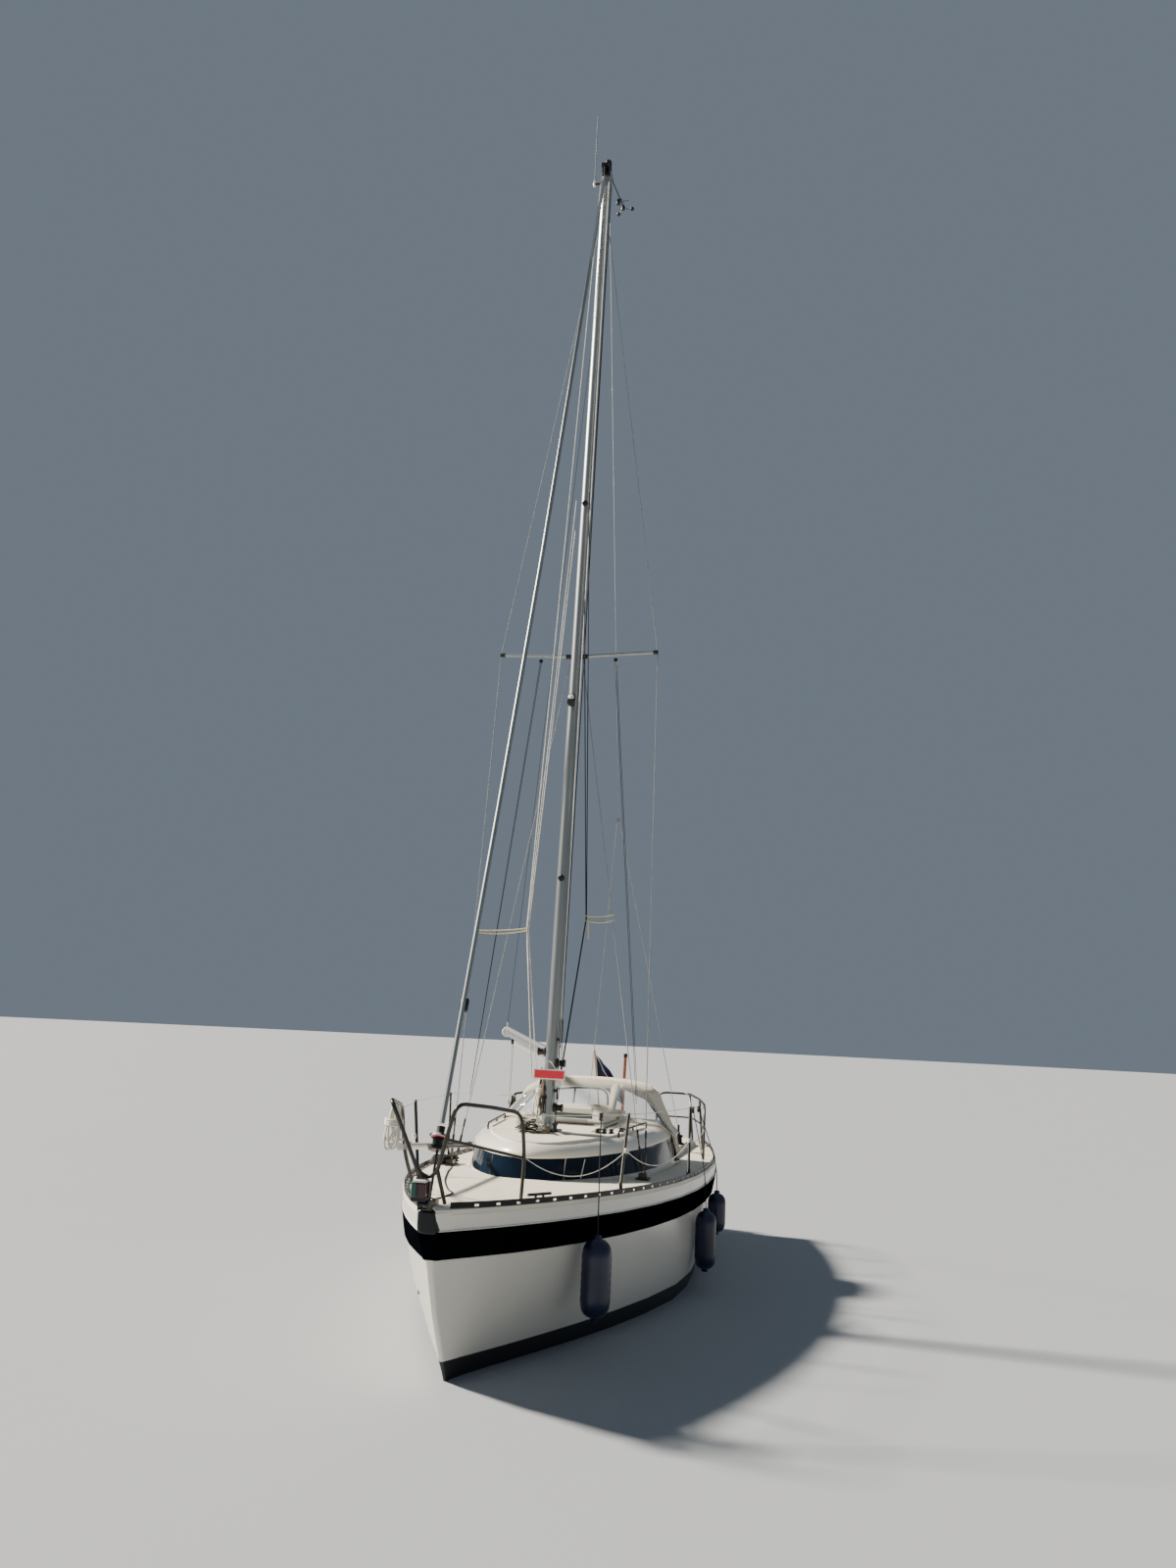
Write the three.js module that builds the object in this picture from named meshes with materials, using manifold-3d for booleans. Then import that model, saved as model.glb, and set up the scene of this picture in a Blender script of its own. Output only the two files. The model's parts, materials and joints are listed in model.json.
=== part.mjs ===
// Sailing yacht afloat, in millimetres: +X to port, +Y aft, +Z up.
// The origin is on the waterplane, on the centreline, at mid-length of the hull.

import * as THREE from 'three';
import { mergeVertices } from 'three/addons/utils/BufferGeometryUtils.js';
import Module from 'manifold-3d';

const wasm = await Module();
wasm.setup();

// Gap kept between faces that meet.
const GAP = 0.3;

// Hull
const LENGTH = 7552;
const HALF_LENGTH = LENGTH / 2;
// The stem runs aft with depth below the deck: slope at the deck, gain per millimetre.
const STEM_SLOPE = 0.276;
const STEM_GAIN = 0.000239;
const FREEBOARD_BOW = 1102;
const FREEBOARD_STERN = 984;
const SHEER_SAG = 51;
const BEAM = 2430;
const STEM_HALF = 60;
const DECK_FORM = { widest: 0.636, power: 2.22, taper: 0.3 };
const BOOT_FORM = { widest: 0.488, power: 1.477, taper: 0.3 };
const BOOT_Z = 139;
const BOOT_HALF = 1119;
const STRAKE_TOP = 128;
const STRAKE_LOW = 303;
const STRAKE_TUCK_TOP = 4;
// How far the strake's low edge lies inboard of the deck edge, along the length from the bow.
const STRAKE_TUCK_LOW = [[0, 46], [0.03, 38], [0.08, 18], [0.14, 14], [0.22, 22], [0.32, 32], [0.45, 35], [1, 35]];
const TOPSIDES_BULGE = 29;
const STRAKE_PROUD = 12;
const DECK_THICK = 30;
const DECK_CAMBER = 30;
const STATIONS = [0, 0.015, 0.04, 0.08, 0.13, 0.19, 0.26, 0.34, 0.43, 0.52, 0.61, 0.7, 0.78, 0.86, 0.93, 1];
const BOW_CAP_END = 0.015;
// Bottom of the hull on the centreline: along the length from 0 at the bow to 1, height.
const KEEL_LINE = [
  [0, -60], [0.1, -215], [0.25, -350], [0.42, -420], [0.58, -410], [0.75, -320], [0.9, -170], [1, -70],
];

// Cabin trunk
const TRUNK_NOSE_Y = -1560;
const TRUNK_FULL_Y = 700;
const TRUNK_AFT_Y = 1350;
const TRUNK_HALF = 890;
const TRUNK_ROUND = 0.537;
const TRUNK_WALL = 42;
const LIP_FRONT_Z = 1205;
const LIP_RISE = 45;
const LIP_INSET = 50;
const CABIN_SOLE_Z = 150;
// How far along each side the trunk's outline is sampled, from nose to aft end.
const TRUNK_STEPS = [0, 0.006, 0.025, 0.06, 0.11, 0.18, 0.27, 0.38, 0.52, 0.7, 0.85, 1];
// Roof edge, outside: inset from the trunk's foot, height over the lip.
const ROOF_RISE = [[38, 3], [34, 18], [60, 56], [105, 92], [165, 114], [260, 123], [430, 128]];
const ROOF_THICK = 30;
const PLINTH_HALF = 360;
const PLINTH_FRONT_Y = -120;
const PLINTH_TOP_Z = 1392;

// Cockpit
const COCKPIT = { half: 660, front: 1400, aft: 3300, floor: 400 };
const WELL_HALF = 300;
const WELL_FLOOR_Z = 450;
const SEAT_Z = 800;
const COAMING_WIDE = 130;
const COAMING_Z = 1060;
const COAMING_AFT_Z = 1030;
const WINCH_Y = 2400;
const LID_FRONT_Y = 1800;
const LID_AFT_Y = 2900;

// Mast and rig
const MAST_FOOT = new THREE.Vector3(0, -765, 1380);
const MAST_HEAD_Z = 11115;
const MAST_RAKE = Math.tan(THREE.MathUtils.degToRad(2.73));
const MAST_ACROSS = 54;
const MAST_ALONG = 72;
const SPREADER_Z = 5668;
const SPREADER_TIP = { x: 761, y: -508, z: 5715 };
const CAP_TANG_Z = 10350;
const CHAINPLATE = { x: 845, y: -720 };
const BRIDLE_FOOT = { x: 580, y: 3700 };
const WIRE_R = 4;
const WIRE_SIDES = 6;
const FOIL_R = 17;
const FOIL_TOP = { y: -440, z: 10985 };
const AERIAL = { x: -138, y: -304, low: 10995, top: 11870, radius: 4, strapHalf: 18 };
const GOOSENECK_Z = 1982;
const BOOM_END = new THREE.Vector3(-1142, 1900, 2180);
const BOOM_WIDE = 76;
const BOOM_DEEP = 104;

// Rails round the deck
const RAIL_R = 12.5;
const NAV_LIGHT_TOP = 1272;
const STANCHION_R = 12.5;

// Rudder and its hinge on the transom
const RUDDER_AXIS_Y = HALF_LENGTH + 62;
const TILLER_Z = 1150;

// Propeller shaft
const SHAFT_TILT_DEG = 9;
const SHAFT_R = 12.5;
const SHAFT_LONG = 1005;
const PROPELLER = { y: 2700, z: -520 };

const PALETTE = {
  gelcoat: ['#ece6d6', 0.3, 0],
  deck: ['#ebe5d3', 0.55, 0],
  black: ['#0d0f14', 0.3, 0],
  acrylic: ['#131c27', 0.1, 0],
  antifouling: ['#15171b', 0.75, 0],
  iron: ['#1b1d20', 0.7, 0.2],
  alloy: ['#c3c7c8', 0.35, 0.9],
  steel: ['#b9bcbd', 0.22, 1],
  darkAlloy: ['#1b1d20', 0.4, 0.4],
  canvas: ['#e9dfc9', 0.85, 0],
  vinyl: ['#c4d0d6', 0.08, 0],
  varnish: ['#b5623a', 0.25, 0],
  bronze: ['#8a6a3a', 0.4, 0.9],
  navy: ['#131c3d', 0.45, 0],
  red: ['#d3203a', 0.4, 0],
};

const yacht = new THREE.Group();

function add(name, geometry, finish) {
  const [color, roughness, metalness] = PALETTE[finish];
  const material = new THREE.MeshStandardMaterial({ color, roughness, metalness });
  const mesh = new THREE.Mesh(geometry, material);
  mesh.name = name;
  yacht.add(mesh);
  return mesh;
}

// Solids: joining and cutting

function solid(geometry) {
  const bare = geometry.clone();
  bare.deleteAttribute('normal');
  bare.deleteAttribute('uv');
  const merged = mergeVertices(bare, 1e-3);
  const vertProperties = new Float32Array(merged.attributes.position.array);
  const triVerts = new Uint32Array(merged.index.array);
  return new wasm.Manifold(new wasm.Mesh({ numProp: 3, vertProperties, triVerts }));
}

function geometryOf(body) {
  const mesh = body.getMesh();
  const geometry = new THREE.BufferGeometry();
  geometry.setAttribute('position', new THREE.BufferAttribute(mesh.vertProperties, 3));
  geometry.setIndex(new THREE.BufferAttribute(mesh.triVerts, 1));
  return geometry;
}

function box(low, high) {
  const size = high.map((value, i) => value - low[i]);
  const centre = high.map((value, i) => (value + low[i]) / 2);
  return new THREE.BoxGeometry(...size).translate(...centre);
}

// A closed body through rings of equally many points, capped at both ends.
function loft(rings) {
  const count = rings[0].length;
  const position = [];
  const index = [];
  for (const ring of rings) {
    for (const [x, y, z] of ring) position.push(x, y, z);
  }
  for (let i = 0; i + 1 < rings.length; i += 1) {
    for (let j = 0; j < count; j += 1) {
      const a = i * count + j;
      const b = i * count + ((j + 1) % count);
      index.push(a, b, b + count, a, b + count, a + count);
    }
  }
  const ends = [[0, true], [rings.length - 1, false]];
  for (const [end, flip] of ends) {
    const ring = rings[end];
    const centre = [0, 1, 2].map((k) => ring.reduce((sum, point) => sum + point[k], 0) / count);
    const hub = position.length / 3;
    position.push(...centre);
    for (let j = 0; j < count; j += 1) {
      const a = end * count + j;
      const b = end * count + ((j + 1) % count);
      if (flip) index.push(hub, b, a);
      else index.push(hub, a, b);
    }
  }
  const geometry = new THREE.BufferGeometry();
  geometry.setAttribute('position', new THREE.Float32BufferAttribute(position, 3));
  geometry.setIndex(index);
  return facingOut(geometry);
}

function facingOut(geometry) {
  const position = geometry.attributes.position;
  const index = geometry.index.array;
  const a = new THREE.Vector3();
  const b = new THREE.Vector3();
  const c = new THREE.Vector3();
  let volume = 0;
  for (let i = 0; i < index.length; i += 3) {
    a.fromBufferAttribute(position, index[i]);
    b.fromBufferAttribute(position, index[i + 1]);
    c.fromBufferAttribute(position, index[i + 2]);
    volume += a.dot(b.cross(c));
  }
  if (volume < 0) {
    for (let i = 0; i < index.length; i += 3) {
      [index[i + 1], index[i + 2]] = [index[i + 2], index[i + 1]];
    }
  }
  return geometry;
}

// A route through points, one step from each point to the next.
class Route extends THREE.Curve {
  constructor(points) {
    super();
    this.points = points;
  }

  getPoint(t, target = new THREE.Vector3()) {
    const last = this.points.length - 1;
    const at = Math.min(last - 1, Math.floor(t * last));
    return target.lerpVectors(this.points[at], this.points[at + 1], t * last - at);
  }

  getUtoTmapping(u) {
    return u;
  }
}

// The corners of a bent tube, each rounded to the bend radius.
function rounded(corners, bend, steps = 4) {
  const points = corners.map((corner) => new THREE.Vector3(...corner));
  const out = [points[0]];
  for (let i = 1; i + 1 < points.length; i += 1) {
    const before = points[i - 1].clone().sub(points[i]);
    const after = points[i + 1].clone().sub(points[i]);
    const reach = Math.min(bend, before.length() * 0.45, after.length() * 0.45);
    const start = points[i].clone().addScaledVector(before.normalize(), reach);
    const end = points[i].clone().addScaledVector(after.normalize(), reach);
    const arc = new THREE.QuadraticBezierCurve3(start, points[i], end);
    out.push(...arc.getPoints(steps));
  }
  out.push(points[points.length - 1]);
  return out;
}

function circleShape(radius, sides, across = radius) {
  const shape = new THREE.Shape();
  for (let i = 0; i < sides; i += 1) {
    const angle = ((i + 0.5) / sides) * 2 * Math.PI;
    const point = [radius * Math.cos(angle), across * Math.sin(angle)];
    if (i === 0) shape.moveTo(...point);
    else shape.lineTo(...point);
  }
  shape.closePath();
  return shape;
}

function sweep(points, shape) {
  const steps = points.length - 1;
  return new THREE.ExtrudeGeometry(shape, { steps, extrudePath: new Route(points) });
}

function tube(corners, radius, { bend = 60, sides = 8, steps = 4 } = {}) {
  return sweep(rounded(corners, bend, steps), circleShape(radius, sides));
}

function wire(from, to, radius = WIRE_R) {
  return tube([from, to], radius, { sides: WIRE_SIDES });
}

// A round piece: profile of radius and height pairs from the axis back to the axis.
function turned(profile, sides, place) {
  const points = profile.map(([radius, height]) => new THREE.Vector2(radius, height));
  return new THREE.LatheGeometry(points, sides).rotateX(Math.PI / 2).translate(...place);
}

// A flat outline of points in X and Z, extruded along Y.
function slab(outline, yLow, yHigh) {
  const shape = new THREE.Shape(outline.map(([x, z]) => new THREE.Vector2(x, z)));
  const geometry = new THREE.ExtrudeGeometry(shape, { depth: yHigh - yLow, bevelEnabled: false });
  return geometry.rotateX(Math.PI / 2).translate(0, yHigh, 0);
}

// Hull lines

function fullness(u, { widest, power, taper }) {
  if (u < widest) return 1 - (1 - u / widest) ** power;
  return 1 - taper * ((u - widest) / (1 - widest)) ** 2;
}

const sheerZ = (u) => FREEBOARD_BOW + (FREEBOARD_STERN - FREEBOARD_BOW) * u - SHEER_SAG * 4 * u * (1 - u);
const deckHalf = (u) => STEM_HALF + (BEAM / 2 - STEM_HALF) * fullness(u, DECK_FORM);
const bootHalf = (u) => 10 + BOOT_HALF * fullness(u, BOOT_FORM);
const deckU = (y) => (y + HALF_LENGTH) / LENGTH;
const deckTop = (x, y) => sheerZ(deckU(y)) + DECK_CAMBER * (1 - (x / deckHalf(deckU(y))) ** 2);

// Height for a flat foot of the given reach, just clear of the cambered deck.
function footZ(x, y, reach) {
  const inboard = Math.max(0, Math.abs(x) - reach);
  return Math.max(deckTop(inboard, y - reach), deckTop(inboard, y + reach)) + 0.8;
}

function stemY(z) {
  const down = FREEBOARD_BOW - Math.max(z, 0);
  const under = Math.min(z, 0);
  return -HALF_LENGTH + down * (STEM_SLOPE + STEM_GAIN * down) - under * 0.9 - (under * under) / 700;
}

// Half-breadth at the strake's low edge.
function strakeLowHalf(u) {
  return Math.max(12, deckHalf(u) - tableAt(STRAKE_TUCK_LOW, u));
}

function along(u, z) {
  return stemY(z) + (HALF_LENGTH - stemY(z)) * u;
}

function tableAt(table, u) {
  const i = Math.max(1, table.findIndex(([at]) => at >= u));
  const [u0, a] = table[i - 1];
  const [u1, b] = table[i];
  return a + ((b - a) * (u - u0)) / (u1 - u0);
}

// Height and half-breadth of one station from the deck edge down to the keel line.
function stationLevels(u, top) {
  const sheer = sheerZ(u);
  const half = deckHalf(u);
  const low = strakeLowHalf(u);
  const boot = bootHalf(u);
  const middle = (sheer - STRAKE_LOW + BOOT_Z) / 2;
  const bulge = TOPSIDES_BULGE * fullness(u, DECK_FORM);
  const levels = [
    [half, top],
    [half - STRAKE_TUCK_TOP, sheer - STRAKE_TOP],
    [low, sheer - STRAKE_LOW],
    [(low + boot) / 2 + bulge, middle],
    [boot, BOOT_Z],
  ];
  const keel = tableAt(KEEL_LINE, u);
  const round = 1.45 + 0.75 * fullness(u, BOOT_FORM);
  for (const degrees of [18, 36, 54, 72]) {
    const angle = THREE.MathUtils.degToRad(degrees);
    const across = boot * Math.cos(angle) ** (2 / round);
    const drop = (BOOT_Z - keel) * Math.sin(angle) ** (2 / round);
    levels.push([Math.max(across, 8), BOOT_Z - drop]);
  }
  levels.push([6, keel]);
  return levels;
}

function hullRing(u) {
  const levels = stationLevels(u, sheerZ(u) - DECK_THICK);
  const port = levels.map(([x, z], i) => [x, along(u, z), i === 0 ? z - 2 * GAP : z]);
  const starboard = port.map(([x, y, z]) => [-x, y, z]).reverse();
  return [...port, ...starboard];
}

// Cabin trunk lines: the outline drawn in towards the centre by an inset.

function trunkHalf(y) {
  const t = Math.min(1, (y - TRUNK_NOSE_Y) / (TRUNK_FULL_Y - TRUNK_NOSE_Y));
  return TRUNK_HALF * (1 - (1 - t) ** 2) ** TRUNK_ROUND;
}

const trunkT = (y) => Math.min(1, Math.max(0, (y - TRUNK_NOSE_Y) / (TRUNK_FULL_Y - TRUNK_NOSE_Y)));
const lipZ = (y) => LIP_FRONT_Z + LIP_RISE * trunkT(y);

function trunkRing(inset, height, aftY = TRUNK_AFT_Y) {
  const port = [];
  for (const step of TRUNK_STEPS) {
    const y = TRUNK_NOSE_Y + (TRUNK_AFT_Y - TRUNK_NOSE_Y) * step;
    const across = (trunkHalf(y) * (TRUNK_HALF - inset)) / TRUNK_HALF;
    const long = TRUNK_AFT_Y - TRUNK_NOSE_Y;
    const back = step === 1 ? aftY : TRUNK_AFT_Y - ((TRUNK_AFT_Y - y) * (long - inset)) / long;
    port.push([across, back, height(y)]);
  }
  const starboard = port.slice(1).map(([x, y, z]) => [-x, y, z]).reverse();
  return [...port, ...starboard];
}

// A patch of a curved surface as a thin closed body: from the outer to the inner offset.
function patch(surface, [u0, u1, uSteps], [v0, v1, vSteps], outer, inner) {
  const point = (u, v) => new THREE.Vector3(...surface(u, v));
  const normal = (u, v) => {
    const e = 0.004;
    const du = point(Math.min(1, u + e), v).sub(point(Math.max(0, u - e), v));
    const dv = point(u, Math.min(1, v + e)).sub(point(u, Math.max(0, v - e)));
    return du.cross(dv).normalize();
  };
  const rings = [];
  for (let i = 0; i <= vSteps; i += 1) {
    const v = v0 + ((v1 - v0) * i) / vSteps;
    const out = [];
    const back = [];
    for (let j = 0; j <= uSteps; j += 1) {
      const u = u0 + ((u1 - u0) * j) / uSteps;
      const at = point(u, v);
      const n = normal(u, v);
      out.push(at.clone().addScaledVector(n, outer).toArray());
      back.push(at.clone().addScaledVector(n, inner).toArray());
    }
    rings.push([...out, ...back.reverse()]);
  }
  return stripLoft(rings);
}

// Like loft, but each end is closed by pairing the points of its two long sides, and a quad is split along
// the same diagonal on both faces, so that a thin shell never crosses itself.
function stripLoft(rings) {
  const count = rings[0].length;
  const geometry = loft(rings);
  const position = Array.from(geometry.attributes.position.array).slice(0, rings.length * count * 3);
  const index = [];
  for (let i = 0; i + 1 < rings.length; i += 1) {
    for (let j = 0; j < count; j += 1) {
      const a = i * count + j;
      const b = i * count + ((j + 1) % count);
      const onPort = j < count / 4 || j >= count * 0.75;
      const onBack = j >= count / 2;
      if (onPort === onBack) index.push(a, b, b + count, a, b + count, a + count);
      else index.push(a, b, a + count, b, b + count, a + count);
    }
  }
  for (const [end, flip] of [[0, true], [rings.length - 1, false]]) {
    for (let j = 0; j + 1 < count / 2; j += 1) {
      const a = end * count + j;
      const b = a + 1;
      const d = end * count + (count - 1 - j);
      const c = d - 1;
      if (flip) index.push(a, c, b, a, d, c);
      else index.push(a, b, c, a, c, d);
    }
  }
  const strip = new THREE.BufferGeometry();
  strip.setAttribute('position', new THREE.Float32BufferAttribute(position, 3));
  strip.setIndex(index);
  return facingOut(strip);
}

function buildHull() {
  const outside = solid(loft(STATIONS.map(hullRing)));
  const cabin = solid(loft([
    trunkRing(62, () => CABIN_SOLE_Z, TRUNK_AFT_Y - 40),
    trunkRing(62, () => 1400, TRUNK_AFT_Y - 40),
  ]));
  const cockpit = solid(box(
    [-COCKPIT.half, COCKPIT.front, COCKPIT.floor],
    [COCKPIT.half, COCKPIT.aft, 1400],
  ));
  add('hull', geometryOf(outside.subtract(cabin).subtract(cockpit)), 'gelcoat');
}

function strakeRing(side, u, top, low, topHalf, lowHalf, inner, proud) {
  const forward = u === 0 ? 1 : 0;
  const corners = [
    [lowHalf + inner, low, inner],
    [topHalf + inner, top, inner],
    [topHalf + proud, top, proud],
    [lowHalf + proud, low, proud],
  ];
  return corners.map(([x, z, front]) => [side * x, along(u, z) - front * forward, z]);
}

function buildStrake() {
  const band = [];
  for (const u of [...STATIONS].reverse()) {
    const sheer = sheerZ(u);
    const half = deckHalf(u);
    const top = half - STRAKE_TUCK_TOP;
    band.push([u, sheer - STRAKE_TOP, sheer - STRAKE_LOW, top, strakeLowHalf(u)]);
  }
  const cap = [BOW_CAP_END, 0].map((u) => [
    u, sheerZ(u) + 14, sheerZ(u) - STRAKE_TOP - 10, deckHalf(u), deckHalf(u) - STRAKE_TUCK_TOP,
  ]);
  const rings = (rows, inner, proud) => {
    const port = rows.map((row) => strakeRing(1, ...row, inner, proud));
    const starboard = rows.map((row) => strakeRing(-1, ...row, inner, proud)).reverse();
    return loft([...port, ...starboard]);
  };
  const joined = solid(rings(band, 0.5, STRAKE_PROUD)).add(solid(rings(cap, 4, STRAKE_PROUD + 2)));
  add('rubbing_strake', geometryOf(joined), 'black');
}

function buildToeRail(side, name) {
  const rings = STATIONS.slice(1).map((u) => {
    const half = deckHalf(u);
    const y = along(u, sheerZ(u));
    const base = deckTop(half - 20, y) + 0.8;
    return [[-10, 0], [-20, 0], [-20, 32], [-10, 32]].map(([x, z]) => [side * (half + x), y, base + z]);
  });
  add(name, loft(rings), 'black');
}

function deckRing(u, low) {
  const half = deckHalf(u);
  const sheer = sheerZ(u);
  const across = [-1, -0.5, 0, 0.5, 1];
  const y = along(u, sheer);
  const top = across.map((x) => [x * half, y, sheer + DECK_CAMBER * (1 - x * x)]);
  const bottom = across.map((x) => [x * half, along(u, sheer - low), sheer - low]).reverse();
  return [...top, ...bottom];
}

function buildDeck() {
  const plate = solid(loft(STATIONS.map((u) => deckRing(u, DECK_THICK))));
  const trunkHole = solid(loft([trunkRing(-0.6, () => 800, 1395), trunkRing(-0.6, () => 1300, 1395)]));
  const { half, front, aft } = COCKPIT;
  const cockpitHole = solid(box([-half, front, 800], [half, aft, 1300]));
  const rim = solid(slab([
    [-half - COAMING_WIDE - 30, 960],
    [-half - COAMING_WIDE, COAMING_Z - 25],
    [-half - COAMING_WIDE + 25, COAMING_Z],
    [half + COAMING_WIDE - 25, COAMING_Z],
    [half + COAMING_WIDE, COAMING_Z - 25],
    [half + COAMING_WIDE + 30, 960],
  ], front + 4, aft + 70));
  const inside = solid(box([-half, front - 100, 700], [half, aft, 1400]));
  const lowAft = solid(box([-half - 400, aft - 4, COAMING_AFT_Z], [half + 400, aft + 200, 1400]));
  const coaming = rim.subtract(inside).subtract(lowAft);
  add('deck', geometryOf(plate.subtract(trunkHole).add(coaming).subtract(cockpitHole)), 'deck');
}

// Window openings and panes of the trunk: name, lowest and highest X, lowest and highest Y.
const PANES = [
  ['window_front', -300, 300, -1700, -1150],
  ['window_port', 312, 1000, -1600, 700],
  ['window_starboard', -1000, -312, -1600, 700],
];
const PANE_MARGIN = 45;

function trunkShell(inset, low, high) {
  const span = [[0, -1], [1, LIP_INSET]];
  const rings = span.map(([t, lipInset]) => trunkRing(
    inset + (t ? lipInset : 0),
    (y) => (t ? lipZ(y) + high : sheerZ(deckU(y)) - DECK_THICK + low),
  ));
  return solid(loft(rings));
}

function buildTrunk() {
  const outer = trunkShell(0, 2, 0);
  const inner = solid(loft([
    trunkRing(TRUNK_WALL, () => 700, 1500),
    trunkRing(TRUNK_WALL + LIP_INSET, () => 1400, 1500),
  ]));
  let wall = outer.subtract(inner);
  for (const [, x0, x1, y0, y1] of PANES) {
    const low = [x0 + PANE_MARGIN, y0, 1075];
    const high = [x1 - PANE_MARGIN, y1 - 60, LIP_FRONT_Z - 25];
    wall = wall.subtract(solid(box(low, high)));
  }
  add('cabin_wall', geometryOf(wall), 'gelcoat');
  const skin = trunkShell(-7, 2, 0).subtract(trunkShell(-0.5, 0, 5));
  for (const [name, x0, x1, y0, y1] of PANES) {
    const pane = skin.intersect(solid(box([x0, y0, 1050], [x1, y1, 1240])));
    add(name, geometryOf(pane), 'acrylic');
  }
}

function buildRoof() {
  const rings = ROOF_RISE.map(([inset, rise]) => trunkRing(inset, (y) => lipZ(y) + rise));
  const outer = solid(loft(rings));
  const inner = solid(loft([
    trunkRing(TRUNK_WALL + LIP_INSET, (y) => lipZ(y) - 30, 1305),
    trunkRing(TRUNK_WALL + LIP_INSET + 20, (y) => lipZ(y) + 24, 1305),
    trunkRing(290, (y) => lipZ(y) + 123 - ROOF_THICK, 1305),
  ]));
  const plinth = solid(box([-PLINTH_HALF, PLINTH_FRONT_Y, 1300], [PLINTH_HALF, TRUNK_AFT_Y, PLINTH_TOP_Z]));
  const pad = solid(box([-130, MAST_FOOT.y - 150, 1290], [130, MAST_FOOT.y + 150, MAST_FOOT.z - 24]));
  const hatchway = solid(box([-270, 640, 1150], [270, TRUNK_AFT_Y + 50, 1500]));
  const roof = outer.add(plinth).add(pad).subtract(inner).subtract(hatchway);
  add('cabin_roof', geometryOf(roof), 'gelcoat');
}

function buildBulkhead() {
  const outline = [
    [-872, 962], [-836, 1248], [-760, 1300], [-560, 1345], [560, 1345], [760, 1300], [836, 1248], [872, 962],
  ];
  const y0 = TRUNK_AFT_Y + 1;
  const board = solid(slab(outline, y0, y0 + 40));
  const doorway = solid(box([-262, y0 - 5, 1040], [262, y0 + 50, 1500]));
  add('cabin_bulkhead', geometryOf(board.subtract(doorway)), 'gelcoat');
  add('washboard', box([-261, y0 + 8, 1040 + GAP], [261, y0 + 30, 1380]), 'varnish');
}

function buildHatch() {
  const top = [
    [-345, PLINTH_TOP_Z + GAP], [-345, 1452], [-310, 1482], [-200, 1494], [200, 1494], [310, 1482],
    [345, 1452], [345, PLINTH_TOP_Z + GAP],
  ];
  const shell = solid(slab(top, -60, 640));
  const slot = solid(box([-322, 20, PLINTH_TOP_Z - 5], [322, 700, 1462]));
  const brow = solid(box([-400, -30, 0], [400, 60, 300]).rotateX(-0.62).translate(0, -115, 1410));
  add('sea_hood', geometryOf(shell.subtract(slot).subtract(brow)), 'gelcoat');
  const lid = [
    [-305, PLINTH_TOP_Z + 6], [-305, 1436], [-240, 1448], [0, 1454], [240, 1448], [305, 1436],
    [305, PLINTH_TOP_Z + 6],
  ];
  const under = solid(box([-280, 660, PLINTH_TOP_Z - 10], [280, 1340, 1428]));
  add('sliding_hatch', geometryOf(solid(slab(lid, 620, 1390)).subtract(under)), 'gelcoat');
}

// Sprayhood: half arches from the top centre down to the foot, as X, Y, Z columns.
const HOOD_ARCHES = [
  [[0, 400, 1508], [300, 400, 1508], [378, 420, 1470], [430, 450, 1402], [600, 500, 1390], [770, 580, 1368],
    [876, 700, 1290], [904, 960, 1048]],
  [[0, 790, 1755], [235, 790, 1752], [390, 800, 1738], [500, 800, 1705], [600, 815, 1650], [655, 840, 1565],
    [872, 850, 1280], [908, 1010, 1047]],
  [[0, 1200, 1768], [240, 1200, 1764], [410, 1200, 1748], [545, 1200, 1715], [655, 1190, 1655],
    [694, 1150, 1570], [870, 930, 1275], [912, 1060, 1045]],
  [[0, 1600, 1742], [250, 1580, 1738], [420, 1540, 1722], [545, 1480, 1692], [640, 1400, 1632],
    [690, 1300, 1550], [868, 1010, 1270], [918, 1110, 1043]],
];
const HOOD_THICK = 5;

function hoodSurface(u, v) {
  const rows = HOOD_ARCHES.length - 1;
  const row = Math.min(rows - 1, Math.floor(v * rows));
  const columns = HOOD_ARCHES[0].length - 1;
  const side = u < 0.5 ? 1 : -1;
  const down = Math.abs(u - 0.5) * 2 * columns;
  const column = Math.min(columns - 1, Math.floor(down));
  const mix = (a, b, t) => a.map((value, i) => value + (b[i] - value) * t);
  const near = mix(HOOD_ARCHES[row][column], HOOD_ARCHES[row][column + 1], down - column);
  const far = mix(HOOD_ARCHES[row + 1][column], HOOD_ARCHES[row + 1][column + 1], down - column);
  const [x, y, z] = mix(near, far, v * rows - row);
  return [side * x, y, z];
}

// Window openings of the sprayhood: along the arch, and from front to back.
const HOOD_WINDOWS = [
  [0.5 - 0.08, 0.5 + 0.08, 0.035, 0.24],
  [0.5 - 0.45, 0.5 - 0.129, 0.035, 0.26],
  [0.5 + 0.129, 0.5 + 0.45, 0.035, 0.26],
];

function buildSprayhood() {
  let canvas = solid(patch(hoodSurface, [0, 1, 28], [0, 1, 6], 0, -HOOD_THICK));
  for (const [u0, u1, v0, v1] of HOOD_WINDOWS) {
    canvas = canvas.subtract(solid(patch(hoodSurface, [u0, u1, 9], [v0, v1, 2], 40, -40)));
  }
  add('sprayhood', geometryOf(canvas), 'canvas');
  const pane = patch(hoodSurface, [1 / 28, 27 / 28, 26], [0, 1 / 3, 2], -HOOD_THICK - 1, -HOOD_THICK - 4);
  add('hood_window', geometryOf(solid(pane)), 'vinyl');
}

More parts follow.
